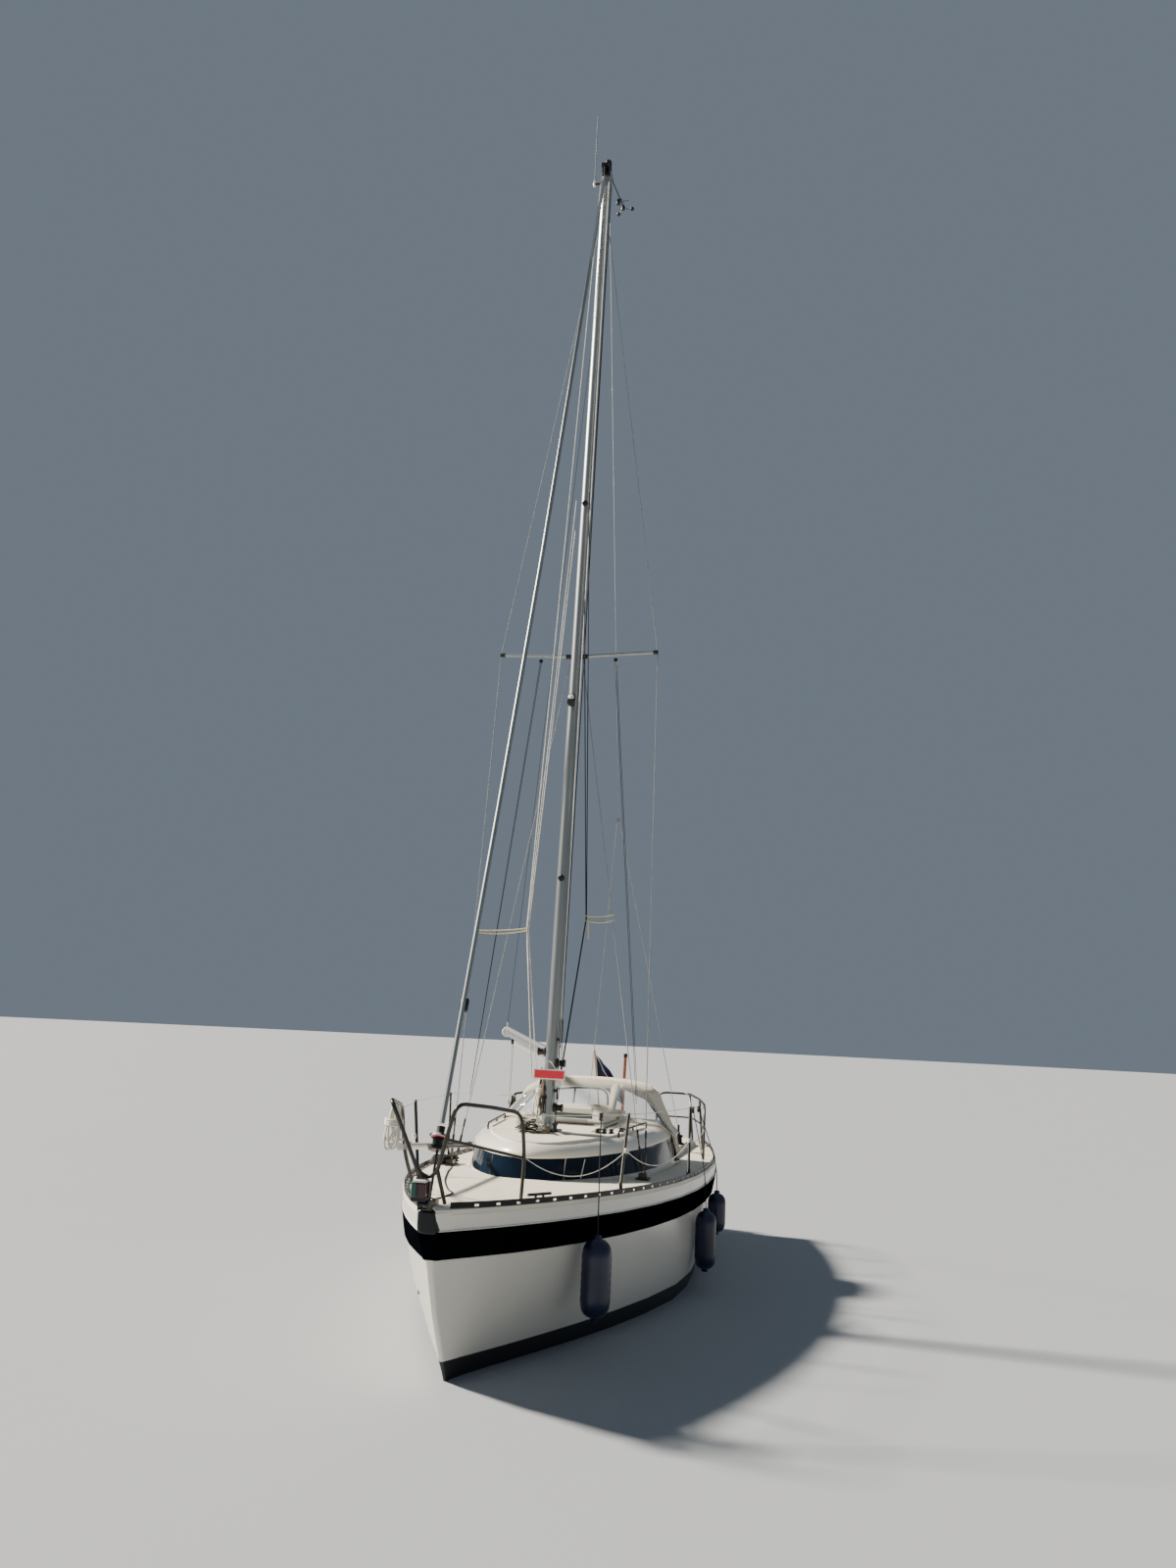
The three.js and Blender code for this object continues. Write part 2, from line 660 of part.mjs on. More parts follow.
function buildCockpit() {
  const { half, front, aft, floor } = COCKPIT;
  const block = solid(box([-half + GAP, front + GAP, floor + GAP], [half - GAP, aft - GAP, SEAT_Z]));
  const well = solid(box([-WELL_HALF, front - 10, WELL_FLOOR_Z], [WELL_HALF, aft - 180, SEAT_Z + 10]));
  add('cockpit_tub', geometryOf(block.subtract(well)), 'gelcoat');
  for (const [name, side] of [['locker_lid_port', 1], ['locker_lid_starboard', -1]]) {
    const xs = [side * (WELL_HALF + 22), side * (half - 34)];
    const low = [Math.min(...xs), LID_FRONT_Y, SEAT_Z + 5];
    const high = [Math.max(...xs), LID_AFT_Y, SEAT_Z + 27];
    add(name, box(low, high), 'deck');
  }
}

function buildWinch(name, x) {
  const base = COAMING_Z + GAP;
  const profile = [[0, base], [62, base], [62, base + 14], [40, base + 22], [36, base + 70], [48, base + 84],
    [48, base + 96], [22, base + 104], [0, base + 104]];
  add(name, turned(profile, 20, [x, WINCH_Y, 0]), 'darkAlloy');
}

// Deck rails: X, Y, Z of the bends of the port half, from the aft foot forwards.
const PULPIT_PORT = [
  [370, -2960, 0], [418, -3110, 1370], [413, -3212, 1663], [320, -3600, 1712], [207, -3977, 1747],
  [140, -3905, 1560], [62, -3822, 1330],
];
const PULPIT_FOOT = [64, -3640];
// Pushpit, one half on each side of the helm: the port half from its front foot to its inner foot.
const PUSHPIT_PORT = [
  [1074, 1700, 0], [1052, 1930, 1512], [905, 2740, 1530],
  [690, 3560, 1548], [300, 3560, 1548], [300, 3620, 0],
];
const PUSHPIT_LEGS = [[905, 2740, 1530], [700, 3530, 1546]];
const PUSHPIT_LOW = [
  [1062, 1830, 1275], [912, 2740, 1275], [722, 3560, 1275], [560, 3592, 1275], [300, 3590, 1275],
];

function buildPulpit() {
  const port = PULPIT_PORT.map(([x, y, z]) => [x, y, z || footZ(x, y, 26) + 4]);
  const starboard = port.map(([x, y, z]) => [-x, y, z]).reverse();
  let frame = solid(tube([...port, [0, -3800, 1290], ...starboard], RAIL_R, { bend: 110 }));
  const [footX, footY] = PULPIT_FOOT;
  for (const side of [1, -1]) {
    const leg = [[side * 66, -3826, 1340], [side * footX, footY, footZ(footX, footY, RAIL_R) + 8]];
    const middle = [[side * 410, -3085, 1370], [side * 128, -3890, 1530]];
    frame = frame.add(solid(tube(leg, RAIL_R))).add(solid(tube(middle, RAIL_R * 0.8)));
    const [x, y] = PULPIT_PORT[0];
    const plate = turned([[0, 0], [26, 0], [26, 6], [0, 6]], 12, [side * x, y, footZ(x, y, 26)]);
    frame = frame.add(solid(plate));
  }
  frame = frame.add(solid(box([-58, -3850, NAV_LIGHT_TOP + GAP], [-2, -3790, 1296])));
  add('pulpit', geometryOf(frame), 'steel');
}

function buildPushpit(name, side) {
  const place = ([x, y, z]) => [side * x, y, z || footZ(x, y, RAIL_R) + 6];
  let frame = solid(tube(PUSHPIT_PORT.map(place), RAIL_R, { bend: 120 }));
  frame = frame.add(solid(tube(PUSHPIT_LOW.map(place), RAIL_R * 0.8)));
  for (const [x, y, z] of PUSHPIT_LEGS) {
    const foot = place([x + 45, y + 20, 0]);
    frame = frame.add(solid(tube([place([x, y, z]), foot], RAIL_R)));
  }
  add(name, geometryOf(frame), 'steel');
}

// Stanchions: name, foot Y, foot inset from the deck edge, lean outwards, top height.
const STANCHIONS = [
  ['stanchion_front', -1671, 84, 52, 1610],
  ['stanchion_aft', 30, 55, 4, 1592],
];

function buildStanchions() {
  for (const [stem, y, inset, lean, top] of STANCHIONS) {
    const x = deckHalf(deckU(y)) - inset;
    for (const [end, side] of [['port', 1], ['starboard', -1]]) {
      const base = footZ(x, y, 28);
      const pole = solid(tube([[side * x, y, base + 4], [side * (x + lean), y - 40, top]], STANCHION_R));
      const plate = turned([[0, 0], [28, 0], [27, 8], [18, 14], [17, 60], [0, 60]], 12, [side * x, y, base]);
      add(`${stem}_${end}`, geometryOf(pole.add(solid(plate))), 'steel');
    }
  }
}

const mastAt = (z) => new THREE.Vector3(0, MAST_FOOT.y + (z - MAST_FOOT.z) * MAST_RAKE, z);

function buildMast() {
  const foot = mastAt(MAST_FOOT.z);
  const head = mastAt(MAST_HEAD_Z);
  const stepBase = MAST_FOOT.z - 24 + GAP;
  const step = box([-105, MAST_FOOT.y - 120, stepBase], [105, MAST_FOOT.y + 120, MAST_FOOT.z - GAP]);
  add('mast_step', step, 'alloy');
  const section = circleShape(MAST_ACROSS, 16, MAST_ALONG);
  const turn = new THREE.ExtrudeGeometry(section, { depth: MAST_HEAD_Z - MAST_FOOT.z, bevelEnabled: false });
  const shear = new THREE.Matrix4();
  shear.set(1, 0, 0, foot.x, 0, 1, MAST_RAKE, foot.y, 0, 0, 1, foot.z, 0, 0, 0, 1);
  const spar = solid(turn.applyMatrix4(shear));
  const knee = mastAt(GOOSENECK_Z);
  let mast = spar;
  for (const low of [-46, 24]) {
    const cheekZ = GOOSENECK_Z + low;
    const cheek = box([-26, knee.y, cheekZ], [26, knee.y + MAST_ALONG + 34, cheekZ + 22]);
    mast = mast.add(solid(cheek));
  }
  add('mast', geometryOf(mast), 'alloy');

  const crane = solid(box([-40, FOIL_TOP.y - 22, MAST_HEAD_Z + GAP], [40, head.y + 120, MAST_HEAD_Z + 26]));
  const tang = solid(box([-8, FOIL_TOP.y - 14, FOIL_TOP.z + 8], [8, FOIL_TOP.y + 24, MAST_HEAD_Z + 10]));
  const lamp = turned([[0, 0], [38, 0], [38, 74], [28, 84], [0, 84]], 14, [0, head.y + 10, MAST_HEAD_Z + 20]);
  const { x, y, low, top, radius, strapHalf } = AERIAL;
  const outerFace = -MAST_ACROSS - 8;
  const strapTop = MAST_HEAD_Z + 20;
  const strapLow = [outerFace, y - strapHalf, low + 8];
  const strap = solid(box(strapLow, [-MAST_ACROSS - 0.6, y + strapHalf, strapTop]));
  const shelf = solid(box([outerFace, y - strapHalf, MAST_HEAD_Z + GAP], [-30, y + strapHalf, strapTop]));
  const arm = solid(box([x - 12, y - 10, low + 14], [outerFace + 4, y + 10, low + 26]));
  const whip = solid(tube([[x, y, low], [x, y, top]], radius));
  const aerial = strap.add(shelf).add(arm).add(whip);
  add('masthead_fitting', geometryOf(crane.add(tang).add(solid(lamp)).add(aerial)), 'darkAlloy');
  const light = mastAt(5210);
  const lamp2 = box([-30, light.y - MAST_ALONG - 62, 5150], [30, light.y - MAST_ALONG - 4, 5262]);
  add('deck_light', lamp2, 'black');
}

const spreaderTip = (side) => new THREE.Vector3(side * SPREADER_TIP.x, SPREADER_TIP.y, SPREADER_TIP.z);

function buildSpreader(name, side) {
  const root = mastAt(SPREADER_Z);
  const tip = spreaderTip(side);
  const start = root.clone().lerp(tip, (MAST_ACROSS + 3) / SPREADER_TIP.x);
  const end = root.clone().lerp(tip, 1 - 14 / SPREADER_TIP.x);
  add(name, sweep([start, end], circleShape(14, 10, 20)), 'alloy');
}

function buildRig() {
  const head = mastAt(CAP_TANG_Z);
  const plateTop = deckTop(CHAINPLATE.x, CHAINPLATE.y) + 60;
  for (const [end, side] of [['port', 1], ['starboard', -1]]) {
    const tip = spreaderTip(side);
    const cap = [[side * (MAST_ACROSS + 8), head.y, head.z], [tip.x, tip.y, tip.z],
      [side * CHAINPLATE.x, CHAINPLATE.y, plateTop]];
    add(`cap_shroud_${end}`, tube(cap, WIRE_R, { bend: 1, sides: WIRE_SIDES, steps: 1 }), 'steel');
    const root = mastAt(SPREADER_Z - 60);
    const low = [side * (CHAINPLATE.x - 30), CHAINPLATE.y + 45, plateTop];
    add(`lower_shroud_${end}`, wire([side * (MAST_ACROSS + 8), root.y, root.z], low), 'steel');
    const base = deckTop(CHAINPLATE.x - 80, CHAINPLATE.y) + 1.5;
    const plateLow = [side * CHAINPLATE.x - 70, CHAINPLATE.y - 40, base];
    const plateHigh = [side * CHAINPLATE.x + 40, CHAINPLATE.y + 100, base + 10];
    const eyeX = side * CHAINPLATE.x;
    const eyeHigh = [eyeX + 12, CHAINPLATE.y + 70, plateTop - 8];
    const eye = box([eyeX - 50, CHAINPLATE.y - 8, base + 4], eyeHigh);
    add(`chainplate_${end}`, geometryOf(solid(box(plateLow, plateHigh)).add(solid(eye))), 'steel');
  }
  const top = mastAt(MAST_HEAD_Z);
  const from = [0, top.y + 112, MAST_HEAD_Z - 12];
  const split = [0, 1900, 4550];
  const triangle = box([-26, 1894, 4520], [26, 1906, 4580]);
  let stay = solid(triangle).add(solid(wire(from, [0, 1900, 4562])));
  for (const side of [1, -1]) {
    const foot = [side * BRIDLE_FOOT.x, BRIDLE_FOOT.y, deckTop(BRIDLE_FOOT.x, BRIDLE_FOOT.y) + 8];
    stay = stay.add(solid(wire([side * 15, split[1], split[2] - 8], foot)));
  }
  add('backstay', geometryOf(stay), 'steel');

  const foilLow = new THREE.Vector3(0, -3606, 1596);
  const foilHigh = new THREE.Vector3(0, FOIL_TOP.y, FOIL_TOP.z);
  const middle = foilLow.clone().lerp(foilHigh, 0.45).add(new THREE.Vector3(0, 150, 0));
  const sag = new THREE.QuadraticBezierCurve3(foilLow, middle, foilHigh);
  add('forestay_foil', sweep(sag.getPoints(8), circleShape(FOIL_R, 8)), 'alloy');
  const drumProfile = [
    [0, 0], [70, 0], [70, 8], [34, 12], [34, 62], [66, 68], [66, 76], [26, 80], [26, 130], [0, 130],
  ];
  const tilt = Math.atan((foilHigh.y - foilLow.y) / (foilHigh.z - foilLow.z));
  const drum = turned(drumProfile, 18, [0, 0, 0]).rotateX(-tilt).translate(0, -3654, 1455);
  const link = wire([0, -3750, 1140], [0, -3654, 1456], 9);
  add('furling_drum', geometryOf(solid(drum).add(solid(link))), 'darkAlloy');
}

function buildBoom() {
  const pivotY = mastAt(GOOSENECK_Z).y + MAST_ALONG + 20;
  const start = new THREE.Vector3(0, pivotY, GOOSENECK_Z);
  const way = BOOM_END.clone().sub(start);
  const spar = new THREE.ExtrudeGeometry(circleShape(BOOM_WIDE / 2, 12, BOOM_DEEP / 2), {
    depth: way.length() - 60, bevelEnabled: false,
  });
  const yaw = Math.atan2(-way.x, way.y);
  const pitch = Math.atan2(way.z, Math.hypot(way.x, way.y));
  spar.rotateX(-Math.PI / 2);
  spar.translate(0, 60, 0);
  const tongue = solid(box([-13, -13, -15], [13, 90, 15]));
  const whole = geometryOf(solid(spar).add(tongue));
  whole.rotateX(pitch).rotateZ(yaw).translate(start.x, start.y, start.z);
  add('boom', whole, 'alloy');
}

// Fin keel and rudder: sections as height, leading edge Y, chord, thickness.
const FIN = [[-1100, -330, 980, 96], [-1060, -350, 1010, 104], [-426, -480, 1330, 128]];
const BLADE = [[-760, RUDDER_AXIS_Y - 60, 330, 38], [-300, RUDDER_AXIS_Y - 50, 370, 44],
  [300, RUDDER_AXIS_Y - 28, 330, 46], [700, RUDDER_AXIS_Y - 24, 250, 46],
  [1060, RUDDER_AXIS_Y - 22, 190, 46]];

function foilRing([z, front, chord, thick]) {
  const across = [[0, 0.12], [0.04, 0.45], [0.15, 0.85], [0.35, 1], [0.7, 0.6], [1, 0.08]];
  const port = across.map(([t, w]) => [(w * thick) / 2, front + t * chord, z]);
  return [...port, ...port.map(([x, y]) => [-x, y, z]).reverse()];
}

function buildUnderwater() {
  add('fin_keel', loft(FIN.map(foilRing)), 'iron');
  const axis = (z, y = RUDDER_AXIS_Y) => [0, y, z];
  const blade = solid(loft(BLADE.map(foilRing)));
  const eyes = [180, 820];
  let rudder = blade;
  for (const z of eyes) {
    rudder = rudder.subtract(solid(box([-60, RUDDER_AXIS_Y - 80, z - 32], [60, RUDDER_AXIS_Y + 32, z + 32])));
    const pin = turned([[0, z - 45], [9, z - 45], [9, z + 45], [0, z + 45]], 12, axis(0));
    rudder = rudder.add(solid(pin));
  }
  const cheek = solid(box([-33, RUDDER_AXIS_Y - 10, 1062], [33, RUDDER_AXIS_Y + 150, 1185]));
  const slot = solid(box([-24, RUDDER_AXIS_Y - 20, 1110], [24, RUDDER_AXIS_Y + 160, 1200]));
  const post = solid(box([-23, RUDDER_AXIS_Y - 5, 1000], [23, RUDDER_AXIS_Y + 120, 1100]));
  add('rudder', geometryOf(rudder.add(post).add(cheek.subtract(slot))), 'gelcoat');

  let strap = solid(box([-22, HALF_LENGTH + GAP, 140], [22, HALF_LENGTH + 10, 860]));
  for (const z of eyes) {
    const arm = solid(box([-20, HALF_LENGTH + 4, z - 14], [20, RUDDER_AXIS_Y + 16, z + 14]));
    const bore = solid(turned([[0, z - 60], [10.5, z - 60], [10.5, z + 60], [0, z + 60]], 12, axis(0)));
    strap = strap.add(arm).subtract(bore);
  }
  add('rudder_hanger', geometryOf(strap), 'steel');

  const route = [[0, RUDDER_AXIS_Y + 140, TILLER_Z - 6], [0, RUDDER_AXIS_Y - 100, TILLER_Z],
    [0, RUDDER_AXIS_Y - 480, TILLER_Z + 30], [0, RUDDER_AXIS_Y - 980, TILLER_Z + 90]];
  add('tiller', tube(route, 21, { bend: 160 }), 'varnish');
}

function buildDrive() {
  const onShaft = (g) => g.rotateX(Math.PI / 2 - THREE.MathUtils.degToRad(SHAFT_TILT_DEG))
    .translate(0, PROPELLER.y, PROPELLER.z);
  const shaft = turned([[0, -30], [SHAFT_R, -30], [SHAFT_R, SHAFT_LONG], [0, SHAFT_LONG]], 12, [0, 0, 0]);
  const hub = turned([[0, -90], [20, -70], [34, -30], [34, 40], [0, 40]], 14, [0, 0, 0]);
  let screw = solid(hub).add(solid(shaft));
  for (let i = 0; i < 2; i += 1) {
    const rows = [[24, 34, 0.75], [80, 52, 0.55], [140, 56, 0.4], [185, 30, 0.3]];
    const rings = rows.map(([r, wide, twist]) => [[-1, -4], [1, -4], [1, 4], [-1, 4]].map(([a, b]) => {
      const x = a * wide * Math.cos(twist) - b * Math.sin(twist);
      const z = a * wide * Math.sin(twist) + b * Math.cos(twist);
      return [x, r, z];
    }));
    screw = screw.add(solid(loft(rings).rotateZ(i * Math.PI)));
  }
  add('propeller', onShaft(geometryOf(screw)), 'bronze');

  const sleeve = turned([[0, 240], [30, 240], [30, 330], [0, 330]], 14, [0, 0, 0]);
  const arm = box([-9, 14, 245], [9, 290, 325]);
  const boreEnd = SHAFT_LONG + 6;
  const bore = turned([[0, 200], [SHAFT_R + 2, 200], [SHAFT_R + 2, boreEnd], [0, boreEnd]], 14, [0, 0, 0]);
  const [logStart, logEnd, logR] = [SHAFT_LONG - 70, SHAFT_LONG + 160, 28];
  const log = turned([[0, logStart], [logR, logStart], [logR, logEnd], [0, logEnd]], 14, [0, 0, 0]);
  const skin = solid(loft(STATIONS.map(hullRing)).translate(0, 0, -GAP));
  const bored = (shape) => onShaft(geometryOf(shape.subtract(solid(bore))));
  const outside = (shape) => geometryOf(solid(bored(shape)).subtract(skin));
  add('shaft_strut', outside(solid(sleeve).add(solid(arm))), 'bronze');
  add('stern_tube', outside(solid(log)), 'bronze');
}

function buildInside() {
  add('engine_block', box([-220, 820, CABIN_SOLE_Z + GAP], [220, 1280, 570]), 'darkAlloy');
}

// Fenders: name, X, Y, top, length, radius.
const FENDERS = [
  ['fender_front', 782, -2343, 810, 561, 104],
  ['fender_middle', 1267, 251, 702, 533, 92],
  ['fender_aft', 1285, 1060, 765, 397, 85],
];

function buildExtras() {
  for (const [name, x, y, top, long, r] of FENDERS) {
    const profile = [
      [0, -long], [22, -long], [30, -long + 30], [r, -long + 95], [r, -120], [32, -36], [24, 0], [0, 0],
    ];
    add(name, turned(profile, 16, [x, y, top]), 'navy');
  }
  add('nav_light', box([-78, -3882, NAV_LIGHT_TOP - 92], [18, -3800, NAV_LIGHT_TOP]), 'black');
  const post = [[-155, 3745, deckTop(155, 3745) + 4], [-134, 3745, 1954]];
  add('stern_post', tube(post, 21, { sides: 10 }), 'varnish');
  const staff = [[-395, 3700, deckTop(395, 3700) + 2], [-520, 3715, 1990]];
  add('flagstaff', tube(staff, 13, { sides: 8 }), 'varnish');
  add('flag', box([-500, 3728, 1640], [-240, 3740, 1960]), 'navy');
  add('sale_sign', box([-122, -866, 1794], [156, -860, 1879]), 'red');
}

buildHull();
buildStrake();
buildToeRail(1, 'toe_rail_port');
buildToeRail(-1, 'toe_rail_starboard');
buildDeck();
buildTrunk();
buildRoof();
buildBulkhead();
buildHatch();
buildSprayhood();
buildCockpit();
buildWinch('winch_port', COCKPIT.half + COAMING_WIDE / 2);
buildWinch('winch_starboard', -COCKPIT.half - COAMING_WIDE / 2);
buildPulpit();
buildPushpit('pushpit_port', 1);
buildPushpit('pushpit_starboard', -1);
buildStanchions();
buildMast();
buildSpreader('spreader_port', 1);
buildSpreader('spreader_starboard', -1);
buildRig();
buildBoom();
buildUnderwater();
buildDrive();
buildInside();
buildExtras();

export default yacht;
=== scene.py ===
"""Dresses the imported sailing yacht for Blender: finishes, ropes, sprayhood, rig lines and a plain studio.

Metres throughout: +X to port, +Y aft, +Z up, with the waterline at z = 0.
"""

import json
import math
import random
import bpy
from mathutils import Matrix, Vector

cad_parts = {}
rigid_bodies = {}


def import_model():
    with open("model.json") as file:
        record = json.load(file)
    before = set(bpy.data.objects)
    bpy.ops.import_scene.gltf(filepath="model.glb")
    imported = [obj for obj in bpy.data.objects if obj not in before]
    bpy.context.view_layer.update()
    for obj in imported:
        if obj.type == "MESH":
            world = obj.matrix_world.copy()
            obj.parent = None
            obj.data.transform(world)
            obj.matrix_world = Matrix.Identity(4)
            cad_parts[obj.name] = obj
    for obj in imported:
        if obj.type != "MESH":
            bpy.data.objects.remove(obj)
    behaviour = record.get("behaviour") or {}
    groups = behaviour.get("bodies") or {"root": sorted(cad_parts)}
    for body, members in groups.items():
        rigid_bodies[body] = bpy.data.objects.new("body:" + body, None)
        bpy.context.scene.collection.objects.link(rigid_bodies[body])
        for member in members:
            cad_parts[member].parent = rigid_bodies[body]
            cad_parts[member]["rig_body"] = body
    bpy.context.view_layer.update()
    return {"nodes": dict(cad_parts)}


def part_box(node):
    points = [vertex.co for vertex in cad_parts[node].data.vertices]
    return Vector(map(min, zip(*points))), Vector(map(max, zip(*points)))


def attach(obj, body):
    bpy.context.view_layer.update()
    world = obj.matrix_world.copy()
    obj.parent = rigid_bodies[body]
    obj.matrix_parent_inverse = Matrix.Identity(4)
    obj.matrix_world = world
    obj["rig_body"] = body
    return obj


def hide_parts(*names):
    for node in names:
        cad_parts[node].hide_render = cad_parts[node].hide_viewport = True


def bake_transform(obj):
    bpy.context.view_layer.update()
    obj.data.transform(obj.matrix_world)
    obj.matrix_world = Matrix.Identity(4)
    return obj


bl_info = {
    "name": "Sailing Yacht",
    "version": (1, 0, 0),
    "blender": (4, 5, 0),
    "location": "3D View > Sidebar > Yacht",
    "description": "Finishes, ropes, canvas and rig lines of a small cruising yacht",
    "category": "Object",
}

from functools import partial

import bmesh
import bpy
from mathutils import Matrix, Vector
from mathutils.bvhtree import BVHTree

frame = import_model()

UP = Vector((0, 0, 1))
AFT = Vector((0, 1, 0))
SIDES = (("port", 1), ("starboard", -1))

# Where rays towards the yacht start, well clear of it
OVERHEAD = 3.0
ABEAM = 3
AHEAD = -6

# Hull lines at the deck edge, as the part's solids have them
LENGTH = 7.552
STEM_HALF = 0.060
HALF_BEAM = 1.215
WIDEST_AT = 0.636
BOW_POWER = 2.22
STERN_TAPER = 0.3
FREEBOARD_BOW = 1.102
FREEBOARD_DROP = 0.118
SHEER_SAG = 0.204
DECK_CAMBER = 0.030
BOOT_LINE = 0.139
STRAKE_TOP_BELOW_DECK = 0.128
STRAKE_LOW_BELOW_DECK = 0.303
STRAKE_AFT_END = 3.765

# The mast leans aft as it rises
MAST_FOOT = Vector((0.0, -0.765, 1.380))
MAST_RAKE = 0.04768
MAST_HALF_ACROSS = 0.054
MAST_HALF_ALONG = 0.072
MASTHEAD = 11.115

# Camera, from the fit of the hull to the photograph
EYE = (2.4263, -10.9285, 2.1860)
EYE_RIGHT = (0.97803, 0.20293, 0.04770)
EYE_UP = (-0.00345, -0.21301, 0.97704)
EYE_FOCAL_PX = 1202.0
PHOTO_HEIGHT_PX = 1600.0
SENSOR_MM = 36.0


def linear(colour):
    """sRGB hex to linear RGBA."""
    shares = [int(colour[i:i + 2], 16) / 255 for i in (1, 3, 5)]
    return [c / 12.92 if c <= 0.04045 else ((c + 0.055) / 1.055) ** 2.4 for c in shares] + [1.0]


def paint(name, description, colour):
    """A colour that the user can change."""
    return bpy.props.FloatVectorProperty(
        name=name, description=description, subtype="COLOR", size=4, min=0.0, max=1.0, default=linear(colour)
    )


def number(name, description, default):
    """A plain number that the user can change."""
    return bpy.props.FloatProperty(name=name, description=description, default=default)


def size(name, description, metres):
    """A length that the user can change."""
    return bpy.props.FloatProperty(
        name=name, description=description, default=metres, min=0.0, subtype="DISTANCE", unit="LENGTH"
    )


class YachtColours(bpy.types.PropertyGroup):
    gelcoat: paint("Gelcoat", "Topsides, deck edge and cabin", "#ece7da")
    deck: paint("Deck", "Non-slip deck and roof", "#ece5d3")
    antifouling: paint("Antifouling", "Bottom paint below the boot line", "#14161a")
    band: paint("Band", "Rubbing band round the hull", "#07080c")
    cap: paint("Bow cap", "Moulded cap over the stem", "#10171b")
    acrylic: paint("Acrylic", "Smoked cabin windows", "#101c2b")
    canvas: paint("Canvas", "Sprayhood cloth", "#f0e2c4")
    vinyl: paint("Vinyl", "Sprayhood windows", "#cfd9dd")
    rope: paint("Rope", "White polyester rope", "#f2eee2")
    dark_rope: paint("Dark rope", "Dark halyards and fender lines", "#15171c")
    webbing: paint("Webbing", "Cream sail ties", "#d9cfa6")
    fender: paint("Fender", "Fender skin", "#131d40")
    flag: paint("Flag", "Flag cloth", "#16204e")
    stripe: paint("Stripe", "Diagonal on the flag", "#e6e6e2")
    sign: paint("Sign", "Face of the sale sign", "#f2364a")
    varnish: paint("Varnish", "Varnished wood", "#b0552a")


class YachtSizes(bpy.types.PropertyGroup):
    halyard: size("Halyard", "Diameter of the halyards", 0.009)
    thin_line: size("Thin line", "Diameter of flag halyards and lashings", 0.005)
    guard_wire: size("Guard line", "Diameter of the guard lines", 0.006)
    fender_line: size("Fender line", "Diameter of the fender lines", 0.009)
    lower_sag: size("Lower guard sag", "How far the lower guard line hangs between its posts", 0.15)
    slot_pitch: size("Slot pitch", "From one slot of the toe rail to the next", 0.187)
    slot_long: size("Slot length", "Length of a toe rail slot", 0.042)
    hem: size("Hem", "Diameter of the piping round the sprayhood", 0.012)
    bow_tube: size("Hood bow", "Diameter of the tubes that carry the sprayhood", 0.022)


# Building blocks of the finishes

MATHS = "ShaderNodeMath"


def add_node(tree, kind, settings=None, links=None):
    """Adds a node: its own settings by name, and for each input a value or the socket that feeds it."""
    made = tree.nodes.new(kind)
    for key, value in (settings or {}).items():
        setattr(made, key, value)
    for key, value in (links or {}).items():
        if isinstance(value, bpy.types.NodeSocket):
            tree.links.new(value, made.inputs[key])
        else:
            made.inputs[key].default_value = value
    return made


def shader_of(material):
    return material.node_tree.nodes["Principled BSDF"]


def feeding(socket):
    """What an input has now: the socket linked to it, or its plain value."""
    if socket.is_linked:
        return socket.links[0].from_socket
    value = socket.default_value
    return value if isinstance(value, float) else list(value)


def colour_of(given):
    """Linear RGBA of a hex colour, or of a colour property by its name."""
    return linear(given) if given.startswith("#") else list(getattr(bpy.context.scene.yacht_colours, given))


def weathered(name, colour, roughness, shade=0.1, patch_mm=500, grain_mm=4, bump_mm=0.03, metallic=0.0,
              coat=0.0, stretch=(1.0, 1.0, 1.0), spread=0.06, sockets=None, then=None):
    """A finish whose colour and gloss drift from patch to patch, over a fine grain.

    Sockets are other shader inputs with their values, and then is a function that works on the new material.
    """
    found = bpy.data.materials.get(name)
    if found:
        return found
    colour = colour_of(colour)
    material = bpy.data.materials.new(name)
    material.use_nodes = True
    tree = material.node_tree
    shader = shader_of(material)
    fixed = {"Metallic": metallic, "Coat Weight": coat, "Coat Roughness": 0.06, **(sockets or {})}
    for key, value in fixed.items():
        shader.inputs[key].default_value = value
    place = add_node(tree, "ShaderNodeTexCoord").outputs["Object"]
    lie = add_node(tree, "ShaderNodeMapping", None, {"Vector": place, "Scale": stretch}).outputs["Vector"]
    patches, grain = (
        add_node(tree, "ShaderNodeTexNoise", None,
                 {"Vector": lie, "Scale": 1000 / scale_mm, "Detail": detail}).outputs["Fac"]
        for scale_mm, detail in ((patch_mm, 6.0), (grain_mm, 2.0))
    )
    contrast = add_node(
        tree, "ShaderNodeMapRange", None, {"Value": patches, "From Min": 0.35, "From Max": 0.7}
    ).outputs["Result"]
    worn = [c * (1 - shade) for c in colour[:3]] + [1.0]
    tint = add_node(tree, "ShaderNodeMix", {"data_type": "RGBA"}, {0: contrast, 6: colour, 7: worn})
    tree.links.new(tint.outputs[2], shader.inputs["Base Color"])
    gloss = add_node(
        tree, "ShaderNodeMapRange", None,
        {"Value": patches, "To Min": max(0.02, roughness - spread), "To Max": roughness + spread},
    )
    tree.links.new(gloss.outputs["Result"], shader.inputs["Roughness"])
    bump = add_node(
        tree, "ShaderNodeBump", None, {"Height": grain, "Distance": bump_mm / 1000, "Strength": 1.0}
    )
    tree.links.new(bump.outputs["Normal"], shader.inputs["Normal"])
    if then:
        then(material)
    return material


def along_axis(material, axis, source="Object"):
    """The position of the shaded point on X, Y or Z, as a socket."""
    tree = material.node_tree
    place = add_node(tree, "ShaderNodeTexCoord").outputs[source]
    return add_node(tree, "ShaderNodeSeparateXYZ", None, {0: place}).outputs[axis]


